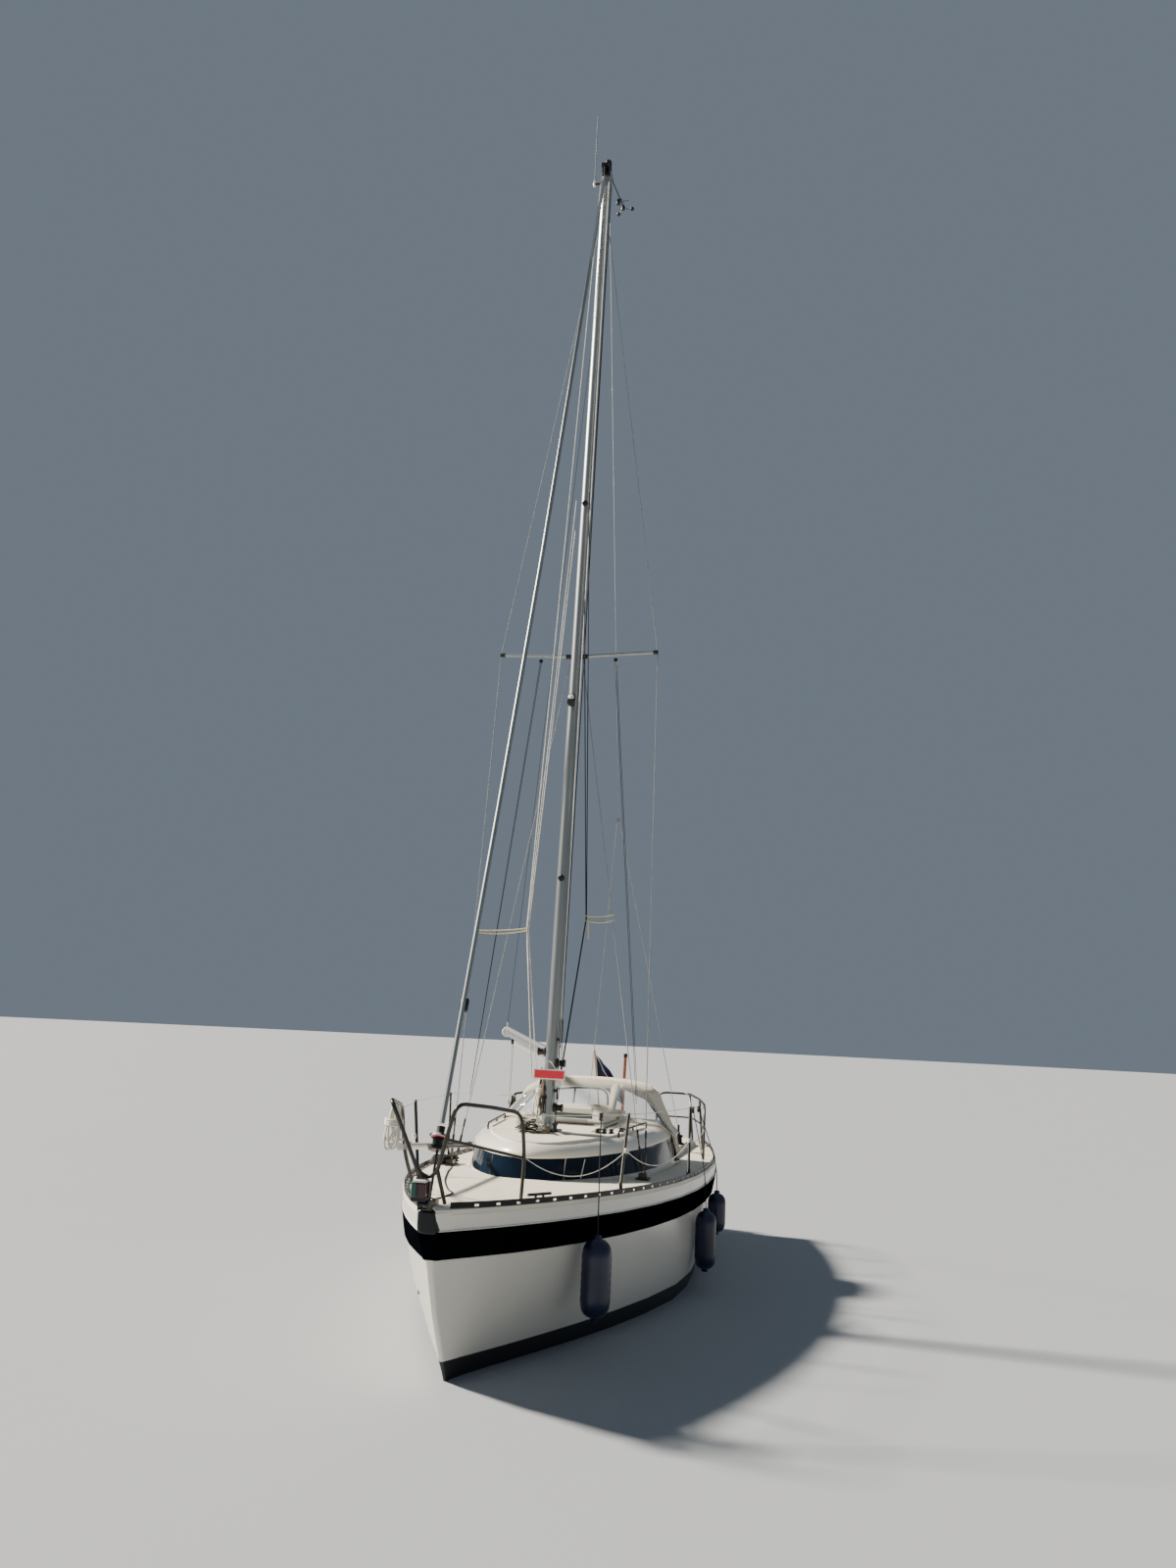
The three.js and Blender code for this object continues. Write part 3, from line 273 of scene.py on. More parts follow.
def add_chain(material, value, *steps):
    """Runs a value through nodes in turn, each given its kind, its operation and its second input."""
    for kind, operation, second in steps:
        value = add_node(material.node_tree, kind, {"operation": operation}, {0: value, 1: second}).outputs[0]
    return value


def cover(material, mask, colour, roughness):
    """Lays another paint wherever the mask is 1."""
    tree = material.node_tree
    shader = shader_of(material)
    for key, kind, over, (low, high, out) in (
            ("Base Color", "RGBA", colour_of(colour), (6, 7, 2)),
            ("Roughness", "FLOAT", roughness, (2, 3, 0))):
        under = feeding(shader.inputs[key])
        mixed = add_node(tree, "ShaderNodeMix", {"data_type": kind}, {0: mask, low: under, high: over})
        tree.links.new(mixed.outputs[out], shader.inputs[key])


def emboss(material, height, depth_mm):
    """Presses another pattern into the finish, on top of its grain."""
    tree = material.node_tree
    shader = shader_of(material)
    bump = add_node(tree, "ShaderNodeBump", None, {
        "Height": height, "Distance": depth_mm / 1000, "Normal": feeding(shader.inputs["Normal"]),
    })
    tree.links.new(bump.outputs["Normal"], shader.inputs["Normal"])


def bottom_paint(material):
    """Dull paint from the boot line down."""
    below = add_chain(material, along_axis(material, "Z"), (MATHS, "LESS_THAN", BOOT_LINE))
    cover(material, below, "antifouling", 0.75)


def weave(material):
    """Crossing threads: 1 mm apart in the real cloth, drawn at 3 mm to show."""
    ridges = 2000 * math.pi / 3.0
    across, along = (
        add_chain(material, along_axis(material, axis), (MATHS, "MULTIPLY", ridges), (MATHS, "SINE", 0.0))
        for axis in "XY"
    )
    emboss(material, add_chain(material, across, (MATHS, "MULTIPLY", along)), 0.25)


def lens_colours(material):
    """Green on the starboard third of the light, then black, then red to port, its red darkened as painted
    shade.
    """
    low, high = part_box("nav_light")
    across = along_axis(material, "X")
    # The dark red is painted shade: the port lens is made darker than its own red because it lies in shade
    for share, colour, roughness in ((0.34, "#0a0c0e", 0.3), (0.55, "#3c1016", 0.15)):
        beyond = low.x * (1 - share) + high.x * share
        cover(material, add_chain(material, across, (MATHS, "GREATER_THAN", beyond)), colour, roughness)


def flag_diagonal(material):
    """One pale stripe from corner to corner, by the cloth's own UV."""
    across, down = (along_axis(material, axis, "UV") for axis in "XY")
    steps = ((MATHS, "SUBTRACT", down), (MATHS, "ABSOLUTE", 0.0), (MATHS, "LESS_THAN", 0.035))
    cover(material, add_chain(material, across, *steps), "stripe", 0.7)


def braided(name, colour, pitch_mm=9.0, metallic=0.0):
    """Braided polyester rope: matt, with crossing strands that wind round it; reads its own UV in metres."""
    def strands(material):
        along, around = (
            add_chain(material, along_axis(material, axis, "UV"), (MATHS, "MULTIPLY", ridges))
            for axis, ridges in (("X", 2000 * math.pi / pitch_mm), ("Y", 4 * math.pi))
        )
        one, other = (
            add_chain(material, along, (MATHS, way, around), (MATHS, "SINE", 0.0))
            for way in ("ADD", "SUBTRACT")
        )
        emboss(material, add_chain(material, one, (MATHS, "MULTIPLY", other)), 0.8)

    return weathered(name, colour, 0.8, shade=0.18, patch_mm=60, grain_mm=3, bump_mm=0.2, metallic=metallic,
                     then=strands)


# The finishes, each named for the real one, with what it gives the eye

# Waxed gelcoat over black bottom paint: a soft sheen that dulls below the boot line
topsides_paint = partial(weathered, "waxed polyester gelcoat", "gelcoat", 0.24, shade=0.07, patch_mm=900,
                         bump_mm=0.02, coat=0.25, stretch=(1.0, 1.0, 0.35), then=bottom_paint)
# Moulded non-slip gelcoat: matt, with a pebble pattern of 6 mm drawn at 9 mm to show
non_slip = partial(weathered, "moulded non-slip gelcoat", "deck", 0.55, shade=0.09, patch_mm=350, grain_mm=9,
                   bump_mm=0.35)
# Polished gelcoat of the cabin and the hatch: cream, faintly mottled
smooth_gelcoat = partial(weathered, "polished cream gelcoat", "gelcoat", 0.3, shade=0.06, patch_mm=600,
                         coat=0.15)
# Extruded fender strip: near black and matt, since a pale studio whitens a gloss, with faint scuffs along it
band_plastic = partial(weathered, "extruded black plastic strip", "band", 0.34, shade=0.3, patch_mm=250,
                       grain_mm=14, bump_mm=0.06, stretch=(1.0, 1.0, 3.0),
                       sockets={"Specular IOR Level": 0.0})
# Moulded bow cap: near black, with a weak soft gloss that lifts it to slate where it faces the sky
cap_plastic = partial(weathered, "cap plastic", "cap", 0.30, shade=0.14, patch_mm=90, grain_mm=3,
                      sockets={"Specular IOR Level": 0.25})
# Black anodised aluminium: dark, metallic, with a satin grain
black_anodised = partial(weathered, "black anodised aluminium", "#17191c", 0.4, shade=0.3, patch_mm=60,
                         metallic=0.7)
# Cast smoked acrylic: almost black blue, smooth with a slow wave and weak reflections
smoked_acrylic = partial(weathered, "cast smoked acrylic", "acrylic", 0.1, shade=0.25, patch_mm=500,
                         grain_mm=160, bump_mm=0.8, spread=0.03, sockets={"Specular IOR Level": 0.18})
# Anodised mast extrusion: pale grey metal, brushed along its length and dulled in streaks
mast_alloy = partial(weathered, "anodised aluminium extrusion", "#a3a8a7", 0.36, shade=0.2, patch_mm=160,
                     grain_mm=5, bump_mm=0.05, metallic=0.75, stretch=(3.0, 3.0, 0.12))
# Stainless tube: a dark grey base colour, far darker than bright steel, as a painted dark reflection of dark
# surroundings, with a haze so that it stays grey in the sun
stainless = partial(weathered, "polished stainless tube", "#4c4a47", 0.34, shade=0.25, patch_mm=90,
                    grain_mm=6, bump_mm=0.02, metallic=1.0)
# Painted cast iron: matt and rough from the mould
cast_black = partial(weathered, "painted cast iron", "#17191c", 0.7, shade=0.3, patch_mm=200, grain_mm=5,
                     bump_mm=0.5)
# Slate-blue panel: dull, and darker than the gelcoat round it, as painted shade on the sea hood's front face
shade_slate_panel = partial(weathered, "slate moulded plastic", "#566a70", 0.4, shade=0.2, patch_mm=60)
# Moulded black nylon: satin, with a fine spark texture
black_plastic = partial(weathered, "moulded black nylon", "#131417", 0.42, shade=0.3, patch_mm=80, grain_mm=2,
                        bump_mm=0.05)
# Moulded white nylon: clean and satin
white_plastic = partial(weathered, "moulded white nylon", "#e4e4e0", 0.35, shade=0.08, patch_mm=80,
                        grain_mm=2)
# Cast bronze: brown gold, dull from the water
bronze = partial(weathered, "cast bronze", "#8c6a3c", 0.42, shade=0.35, patch_mm=50, metallic=0.9)
# Blown soft vinyl: dark navy, satin, with rub marks
fender_skin = partial(weathered, "blown soft vinyl", "fender", 0.38, shade=0.35, patch_mm=120, grain_mm=8,
                      bump_mm=0.15, coat=0.15)
# Varnished mahogany: orange brown with long dark grain under a wet gloss
varnished_wood = partial(weathered, "varnished mahogany", "varnish", 0.25, shade=0.5, patch_mm=90, grain_mm=6,
                         bump_mm=0.05, coat=1.0, stretch=(9.0, 9.0, 0.8))
# Printed plastic plate: flat red, with a white edge
sign_plastic = partial(weathered, "red printed plastic", "sign", 0.35, shade=0.06, patch_mm=60,
                       bump_mm=0.02)
sign_border = partial(weathered, "white printed plastic", "#f1efec", 0.35, shade=0.04, patch_mm=60,
                      bump_mm=0.02)
# Woven acrylic canvas: matt cream with soft stains and a light bloom
hood_canvas = partial(weathered, "woven acrylic canvas", "canvas", 0.85, shade=0.1, patch_mm=260, grain_mm=45,
                      bump_mm=1.5, sockets={"Sheen Weight": 0.3}, then=weave)
# Clear window vinyl: see-through with a soft ripple and a thin haze
clear_vinyl = partial(weathered, "clear window vinyl", "vinyl", 0.07, shade=0.1, patch_mm=200, grain_mm=120,
                      bump_mm=2.5, spread=0.03, sockets={"Alpha": 0.16})
# Weathered ash staff: pale pinkish wood with a thin worn varnish
bleached_ash = partial(weathered, "weathered ash", "#d8b494", 0.45, shade=0.35, patch_mm=70, grain_mm=5,
                       bump_mm=0.1, stretch=(9.0, 9.0, 0.8))
# Bare teak: grey gold, matt, with long grain
teak = partial(weathered, "bare teak", "#a98257", 0.65, shade=0.4, patch_mm=120, grain_mm=4, bump_mm=0.2,
               stretch=(8.0, 0.7, 8.0))
# Two-colour bow light: green to starboard, a black middle and red to port, its red painted dark as shade
light_lens = partial(weathered, "moulded light lens", "#08584c", 0.2, shade=0.3, patch_mm=40, coat=0.1,
                     then=lens_colours)
# Printed polyester flag: navy with one pale diagonal, over a fine weave
flag_cloth = partial(weathered, "printed flag polyester", "flag", 0.7, shade=0.25, patch_mm=90, grain_mm=4,
                     bump_mm=0.2, then=flag_diagonal)
# Plain matt studio paint
studio_floor = partial(weathered, "matt studio floor", "#a4a8ac", 0.9, shade=0.02, patch_mm=4000, bump_mm=0.0)
# Ropes: white, gone beige in the weather so that it parts from the white, and dark
white_rope = partial(braided, "white braided polyester", "rope")
tan_rope = partial(braided, "weathered beige braid", "#9c8f7c")
dark_rope = partial(braided, "dark braided polyester", "dark_rope")
# Woven sail tie: cream, with a long strand
cream_webbing = partial(braided, "cream sail tie", "webbing", 14.0)
# Laid stainless wire: grey metal with a fine spiral
wire = partial(braided, "laid stainless wire", "#b4b7b8", 12.0, metallic=0.9)


# Building blocks of the shapes


def place_piece(name, bm, finish, body="root", crease=35.0, replaces=(), slot=None):
    """Turns a bmesh into a finished piece that rides on a body."""
    mesh = bpy.data.meshes.new(name)
    bm.to_mesh(mesh)
    bm.free()
    mesh.shade_smooth()
    mesh.set_sharp_from_angle(angle=math.radians(crease))
    piece = bpy.data.objects.new(name, mesh)
    bpy.context.scene.collection.objects.link(piece)
    mesh.materials.append(finish())
    if body:
        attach(piece, body)
    if replaces:
        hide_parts(*replaces)
    return piece


def assemble(name, finish, *shapes, **placing):
    """Makes one piece of several shapes: each is a function that adds to a bmesh, and what it is given."""
    bm = bmesh.new()
    for add, *given in shapes:
        add(bm, *given)
    return place_piece(name, bm, finish, **placing)


def merged_copy(node):
    """A CAD node's shape with its loose triangles joined and its flat faces made whole."""
    bm = bmesh.new()
    bm.from_mesh(frame["nodes"][node].data)
    bmesh.ops.remove_doubles(bm, verts=bm.verts, dist=2e-5)
    bmesh.ops.dissolve_limit(bm, angle_limit=math.radians(0.6), verts=bm.verts, edges=bm.edges)
    return bm


def dress(node, finish, rounding=0.0, crease=35.0):
    """Stands a smooth-shaded copy with rounded edges in for a CAD node."""
    body = frame["nodes"][node]["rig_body"]
    piece = place_piece(f"{node}_dressed", merged_copy(node), finish, body, crease, (node,))
    if node == "hull":
        even = piece.modifiers.new("even shading", "WEIGHTED_NORMAL")
        even.keep_sharp = True
    if rounding:
        bevel = piece.modifiers.new("rounded edges", "BEVEL")
        bevel.width = rounding
        bevel.segments = 3
        bevel.limit_method = "ANGLE"
        bevel.angle_limit = math.radians(crease)
        bevel.harden_normals = True
    return piece


def surface_of(*nodes):
    """The surface of CAD nodes, to find points on it."""
    corners, faces = [], []
    for node in nodes:
        mesh = frame["nodes"][node].data
        first = len(corners)
        corners.extend(v.co.copy() for v in mesh.vertices)
        faces.extend([first + i for i in p.vertices] for p in mesh.polygons)
    return BVHTree.FromPolygons(corners, faces)


def hit(tree, start, direction):
    """Where a ray from a point first meets a surface."""
    found = tree.ray_cast(Vector(start), Vector(direction))[0]
    if found is None:
        raise RuntimeError(f"nothing lies that way from {tuple(start)}")
    return found


def on_top(tree, x, y, lift=0.0):
    """The point of a surface right under a place, or that far over it."""
    return Vector((x, y, hit(tree, (x, y, OVERHEAD), -UP).z + lift))


def heading(path, i):
    """Direction of a path at one of its points, halfway between the stretches on each side."""
    before = path[i] - path[i - 1] if i else path[1] - path[0]
    after = path[i + 1] - path[i] if i + 1 < len(path) else before
    return (before.normalized() + after.normalized()).normalized()


def of_kind(geometry, kind):
    return [item for item in geometry if isinstance(item, kind)]


def add_tube(bm, path, thick, sides=8):
    """Sweeps a circle along a path, with UV in metres along it and turns around it."""
    path = [Vector(p) for p in path]
    uv = bm.loops.layers.uv.verify()
    facing = heading(path, 0).to_track_quat("Z", "Y").to_matrix().to_4x4()
    ring = bmesh.ops.create_circle(
        bm, cap_ends=True, radius=thick / 2, segments=sides, matrix=Matrix.Translation(path[0]) @ facing
    )["verts"]
    around = {v: i for i, v in enumerate(ring)}
    edges = list({e for v in ring for e in v.link_edges})
    gone = 0.0
    for i in range(1, len(path)):
        grown = bmesh.ops.extrude_edge_only(bm, edges=edges)["geom"]
        fresh = of_kind(grown, bmesh.types.BMVert)
        turn = heading(path, i - 1).rotation_difference(heading(path, i)).to_matrix()
        bmesh.ops.translate(bm, verts=fresh, vec=path[i] - path[i - 1])
        bmesh.ops.rotate(bm, verts=fresh, cent=path[i], matrix=turn)
        for v in fresh:
            back = next(e.other_vert(v) for e in v.link_edges if e.other_vert(v) in around)
            around[v] = around[back]
        before, gone = gone, gone + (path[i] - path[i - 1]).length
        new = set(fresh)
        for face in of_kind(grown, bmesh.types.BMFace):
            wraps = {around[v] for v in face.verts} == {0, sides - 1}
            for loop in face.loops:
                side = sides if wraps and around[loop.vert] == 0 else around[loop.vert]
                loop[uv].uv = (gone if loop.vert in new else before, side / sides)
        edges = [e for e in of_kind(grown, bmesh.types.BMEdge) if e.verts[0] in new and e.verts[1] in new]
        around = {v: n for v, n in around.items() if v in new}
    bmesh.ops.holes_fill(bm, edges=edges, sides=sides)
    bmesh.ops.recalc_face_normals(bm, faces=bm.faces)


def add_surface(bm, rows):
    """A grid laid through rows of points, with UV from 0 to 1 along and across."""
    along, across = len(rows[0]) - 1, len(rows) - 1
    verts = bmesh.ops.create_grid(bm, x_segments=along, y_segments=across, size=0.5, calc_uvs=True)["verts"]
    uv = bm.loops.layers.uv.verify()
    for v in verts:
        share = (v.co.x + 0.5, v.co.y + 0.5)
        for loop in v.link_loops:
            loop[uv].uv = share
        v.co = rows[round(share[1] * across)][round(share[0] * along)]
    bmesh.ops.recalc_face_normals(bm, faces=bm.faces)


def add_wall(bm, rows, thickness):
    """A grid through rows of points, given a thickness."""
    add_surface(bm, rows)
    bmesh.ops.solidify(bm, geom=bm.faces, thickness=thickness)


def add_box(bm, low, high):
    """A box between two corners."""
    low, high = Vector(low), Vector(high)
    grow = Matrix.Diagonal((*(high - low), 1.0))
    bmesh.ops.create_cube(bm, size=1.0, matrix=Matrix.Translation((low + high) / 2) @ grow)


def add_turned(bm, profile, place, axis=UP, steps=24):
    """Spins a profile of (radius, height) about an axis at a place."""
    turn = Vector(axis).to_track_quat("Z", "Y").to_matrix().to_4x4()
    where = Matrix.Translation(place) @ turn
    verts = [bm.verts.new(where @ Vector((r, 0, h))) for r, h in profile]
    edges = [bm.edges.new(pair) for pair in zip(verts, verts[1:])]
    bmesh.ops.spin(
        bm, geom=verts + edges, cent=place, axis=Vector(axis), angle=2 * math.pi, steps=steps, use_merge=True
    )
    bmesh.ops.remove_doubles(bm, verts=bm.verts, dist=1e-5)
    bmesh.ops.recalc_face_normals(bm, faces=bm.faces)


def round_edges(bm, width, segments=2):
    edges = [e for e in bm.edges if len(e.link_faces) == 2 and e.calc_face_angle() > math.radians(40)]
    bmesh.ops.bevel(bm, geom=edges, offset=width, segments=segments, profile=0.5, affect="EDGES", material=-1)


def mm(profile):
    """Points to turn, from their radii and heights in millimetres."""
    return [tuple(float(value) / 1000 for value in point.split()) for point in profile.split(", ")]


def turned_piece(name, finish, profile, place, axis=UP, steps=24, **placing):
    return assemble(name, finish, (add_turned, profile, place, axis, steps), **placing)


def tubes_piece(name, paths, thick, finish, body="root", sides=8):
    """Tubes of one kind as a single piece."""
    tubes = [(add_tube, path, thick, sides) for path in paths]
    return assemble(name, finish, *tubes, body=body, crease=50.0)


def tube_piece(name, path, *kind, **placing):
    return tubes_piece(name, [path], *kind, **placing)


def free_rope(name, path, thick, finish):
    """A free rope: a tube along its path."""
    rope = tube_piece(name, path, thick, finish)


def smooth_path(points, step=0.03):
    """A Catmull-Rom curve through points, sampled about every step."""
    points = [Vector(p) for p in points]
    ends = [points[0] * 2 - points[1], *points, points[-1] * 2 - points[-2]]
    path = [points[0]]
    for a, b, c, d in zip(ends, ends[1:], ends[2:], ends[3:]):
        count = max(1, round((c - b).length / step))
        for k in range(1, count + 1):
            t = k / count
            bend = 2 * b + (c - a) * t + (2 * a - 5 * b + 4 * c - d) * t * t
            path.append((bend + (3 * b - a - 3 * c + d) * t ** 3) / 2)
    return path


def hanging(start, end, sag, count=14):
    """A slack line between two points."""
    start, end = Vector(start), Vector(end)
    shares = [i / count for i in range(count + 1)]
    return [start.lerp(end, t) - UP * (4 * sag * t * (1 - t)) for t in shares]


def relaxed(path, rounds):
    """A path with its kinks eased out, its two ends kept."""
    for _ in range(rounds):
        eased = [(a + b * 2 + c) / 4 for a, b, c in zip(path, path[1:], path[2:])]
        path = [path[0], *eased, path[-1]]
    return path


def turns_round(middle, radius, start, rise, count, step=1.0):
    """Close turns round an upright line, from a height over its middle, rising a little with each point."""
    return [
        middle + Vector((radius * math.cos(k * step), radius * math.sin(k * step), start + rise * k))
        for k in range(count)
    ]


def to_starboard(port):
    """A row that runs on from the middle over the other side, mirrored."""
    return port + [Vector((-p.x, p.y, p.z)) for p in reversed(port[:-1])]


def on_side(points, side):
    """Points that are given for the port side, on that side."""
    return [Vector((side * x, y, z)) for x, y, z in points]


def mast_at(z):
    return Vector((0.0, MAST_FOOT.y + (z - MAST_FOOT.z) * MAST_RAKE, z))


def deck_edge(y, inset=0.0, side=1):
    """A point of the deck's edge, or that far inboard of it."""
    u = (y + LENGTH / 2) / LENGTH
    if u < WIDEST_AT:
        full = 1 - (1 - u / WIDEST_AT) ** BOW_POWER
    else:
        full = 1 - STERN_TAPER * ((u - WIDEST_AT) / (1 - WIDEST_AT)) ** 2
    half = STEM_HALF + (HALF_BEAM - STEM_HALF) * full
    sheer = FREEBOARD_BOW - FREEBOARD_DROP * u - SHEER_SAG * u * (1 - u)
    x = half - inset
    return Vector((side * x, y, sheer + DECK_CAMBER * (1 - (x / half) ** 2)))


class YachtOperator:
    """What all the operators share."""
    bl_options = {"REGISTER", "UNDO"}


class YACHT_OT_stage(YachtOperator, bpy.types.Operator):
    """Sets the camera where the photograph was taken, with a plain floor and soft light"""
    bl_idname = "yacht.stage"
    bl_label = "Studio and camera"

    floor_radius: size("Floor radius", "How far the floor reaches", 260.0)
    sun_strength: number("Sun strength", "Strength of the key light", 11.0)
    sky_strength: number("Sky strength", "Strength of the fill", 0.34)

    def execute(self, context):
        scene = context.scene
        right, up = Vector(EYE_RIGHT), Vector(EYE_UP)
        turn = Matrix((right, up, right.cross(up))).transposed().to_4x4()
        lens = bpy.data.cameras.new("photo camera")
        lens.sensor_width = SENSOR_MM
        lens.lens = EYE_FOCAL_PX / PHOTO_HEIGHT_PX * SENSOR_MM
        lens.clip_start, lens.clip_end = 0.1, 1000.0
        camera = bpy.data.objects.new("camera", lens)
        camera.matrix_world = Matrix.Translation(EYE) @ turn
        scene.collection.objects.link(camera)
        scene.camera = camera

        bm = bmesh.new()
        bmesh.ops.create_circle(bm, cap_ends=True, radius=self.floor_radius, segments=96)
        place_piece("floor", bm, studio_floor, body=None)

        sun = bpy.data.lights.new("soft key", "SUN")
        sun.energy = self.sun_strength
        sun.angle = math.radians(6)
        sun.color = linear("#fff6e8")[:3]
        key = bpy.data.objects.new("soft key", sun)
        key.rotation_mode = "QUATERNION"
        key.rotation_quaternion = Vector((-0.79, 0.06, 0.61)).to_track_quat("Z", "Y")
        scene.collection.objects.link(key)

        scene.world = scene.world or bpy.data.worlds.new("studio")
        scene.world.use_nodes = True
        sky = scene.world.node_tree.nodes["Background"]
        sky.inputs["Color"].default_value = linear("#b4c4d6")
        sky.inputs["Strength"].default_value = self.sky_strength
        return {"FINISHED"}


RAIL_WAY = (0.233, -0.972, 0.0)
MAST_WAY = (0.15, 1.0, 0.0)
HANKS = (
    # name, top, way its turns advance, turns, width, drop, thickness, finish, seed
    ("bow_rail_hank", (-0.345, -3.505, 1.700), RAIL_WAY, 9, 0.115, 0.345, 0.014, white_rope, 3),
    ("mast_hank_white", (-0.070, -0.784, 1.830), MAST_WAY, 11, 0.120, 0.40, 0.013, white_rope, 5),
    ("mast_hank_front", (-0.050, -0.812, 1.800), MAST_WAY, 3, 0.080, 0.36, 0.012, tan_rope, 8),
    ("stern_hank_white", (-1.046, 1.925, 1.498), MAST_WAY, 6, 0.070, 0.37, 0.011, white_rope, 14),
    ("stern_hank_dark", (-1.052, 1.915, 1.498), MAST_WAY, 4, 0.085, 0.20, 0.012, dark_rope, 17),
    ("mast_hank_dark", (-0.034, -0.828, 1.740), MAST_WAY, 2, 0.050, 0.28, 0.008, dark_rope, 11),
)


def hank_path(top, way, turns, width, drop, thick, seed):
    """Long loops that hang side by side, each with its own width, length and lean."""
    chance = random.Random(seed)
    wide = way.cross(UP).normalized()
    steps = 26
    path = []
    for turn in range(turns):
        half = width / 2 * chance.uniform(0.45, 1.0)
        long = (drop - width / 2) * chance.uniform(0.78, 1.0)
        lean = width * chance.uniform(-0.45, 0.45)
        twist = thick * chance.uniform(-0.8, 0.8)
        for k in range(steps):
            a = 2 * math.pi * k / steps
            deep = (1 - math.cos(a)) / 2
            side = math.sin(a) * half * (0.35 + 0.65 * deep)
            advance = (turn + k / steps) * thick * 1.05 + twist * math.sin(a)
            path.append(top + wide * (side + lean * deep * deep) - UP * (long * deep) + way * advance)
    return path


class YACHT_OT_hanks(YachtOperator, bpy.types.Operator):
    """Hangs the coiled ropes on the bow rail, the mast's foot and the stern rail"""
    bl_idname = "yacht.hanks"
    bl_label = "Rope hanks"

    def execute(self, context):
        for name, top, way, turns, width, drop, thick, finish, seed in HANKS:
            top, way = Vector(top), Vector(way).normalized()
            waist = top - UP * (drop * 0.28) + way * (turns * thick * 0.55)
            wide = way.cross(UP)
            reach, deep = width * 0.36 + thick, turns * thick * 0.65 + thick
            ring = []
            for k in range(49):
                a = 2 * math.pi * k / 16
                around = wide * (reach * math.cos(a)) + way * (deep * math.sin(a))
                ring.append(waist + around - UP * (thick * 1.05 * k / 16))
            tie = tube_piece(f"{name}_tie", ring, thick, finish)
            path = hank_path(top, way, turns, width, drop, thick, seed)
            free_rope(name, path, thick, finish)
        return {"FINISHED"}


# Where the upper and the lower guard line pass the posts on the port side, from the bow
UPPER_GUARD = ((0.418, -3.195, 1.652), (0.864, -1.711, 1.602), (1.131, -0.010, 1.584), (1.046, 1.925, 1.498))
LOWER_GUARD = ((0.417, -3.085, 1.372), (0.851, -1.694, 1.335), (1.130, 0.006, 1.300), (1.062, 1.842, 1.275))
LOWER_SAG_SHARES = (1.0, 1.05, 0.35)


class YACHT_OT_guard_lines(YachtOperator, bpy.types.Operator):
    """Runs the guard lines from the bow rail past the stanchions to the stern rail"""
    bl_idname = "yacht.guard_lines"
    bl_label = "Guard lines"

    def execute(self, context):
        sizes = context.scene.yacht_sizes
        for end, side in SIDES:
            upper, lower = (on_side(line, side) for line in (UPPER_GUARD, LOWER_GUARD))
            paths = [hanging(a, b, 0.008, 6) for a, b in zip(upper, upper[1:])]
            tubes_piece(f"upper_guard_{end}", paths, sizes.guard_wire, white_rope)
            for i, (a, b, share) in enumerate(zip(lower, lower[1:], LOWER_SAG_SHARES)):
                line = hanging(a, b, sizes.lower_sag * share, 20)
                free_rope(f"lower_guard_{end}_{i + 1}", line, sizes.guard_wire, white_rope)
            for i, post in enumerate(lower[1:3]):
                hitch = turns_round(post, 0.016, -0.02, 0.0009, 40, step=0.8)
                tube_piece(f"guard_hitch_{end}_{i + 1}", hitch, 0.008, white_rope)
        return {"FINISHED"}


FENDERS = (
    # fender, where its line leaves the guard line, where it crosses the deck edge
    ("fender_front", (0.735, -2.170, 1.617), None),
    ("fender_middle", (1.117, 0.300, 1.566), (1.236, 0.262, 1.050)),
    ("fender_aft", (1.084, 1.060, 1.534), (1.256, 1.060, 1.040)),
)
FENDER_NECK = 0.02
FENDER_EYE = mm("0 4, 19 4, 22 -10, 19 -24, 0 -24")


class YACHT_OT_fenders(YachtOperator, bpy.types.Operator):
    """Hangs the three fenders over the port side on their lines"""
    bl_idname = "yacht.fenders"
    bl_label = "Fenders and lines"

    rib: size("Rib", "How far the mould's rings stand out from a fender", 0.0025)

    def execute(self, context):
        for name, top, over in FENDERS:
            low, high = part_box(name)
            eye = Vector(((low.x + high.x) / 2, (low.y + high.y) / 2, high.z))
            r, tall = (high.x - low.x) / 2, high.z - low.z
            end = r * 0.95
            straight = tall - 2 * end - 2 * FENDER_NECK
            half = [(0.0, 0.0), (0.026, 0.0), (0.028, -FENDER_NECK)]
            for a in (0.25, 0.5, 0.75, 1.0, 1.25, 1.57):
                half.append((r * math.sin(a) ** 0.8, -FENDER_NECK - end * (1 - math.cos(a))))
            ribs = [(r + self.rib * (k % 2), -FENDER_NECK - end - straight * k / 12) for k in range(1, 12)]
            foot = [(radius, -tall - down) for radius, down in reversed(half)]
            turned_piece(f"{name}_blown", fender_skin, (*half, *ribs, *foot), eye, UP, 40, crease=60.0,
                         replaces=(name,), slot="fender")
            hitch = tube_piece(f"{name}_hitch", turns_round(Vector(top), 0.013, 0.012, -0.0022, 26), 0.010,
                               dark_rope)
            path = smooth_path([eye, over, top], 0.05) if over else hanging(eye, top, 0.0, 16)
            free_rope(f"{name}_line", path, context.scene.yacht_sizes.fender_line, dark_rope)
            turned_piece(f"{name}_eye", black_plastic, FENDER_EYE, eye, crease=40.0)
        return {"FINISHED"}


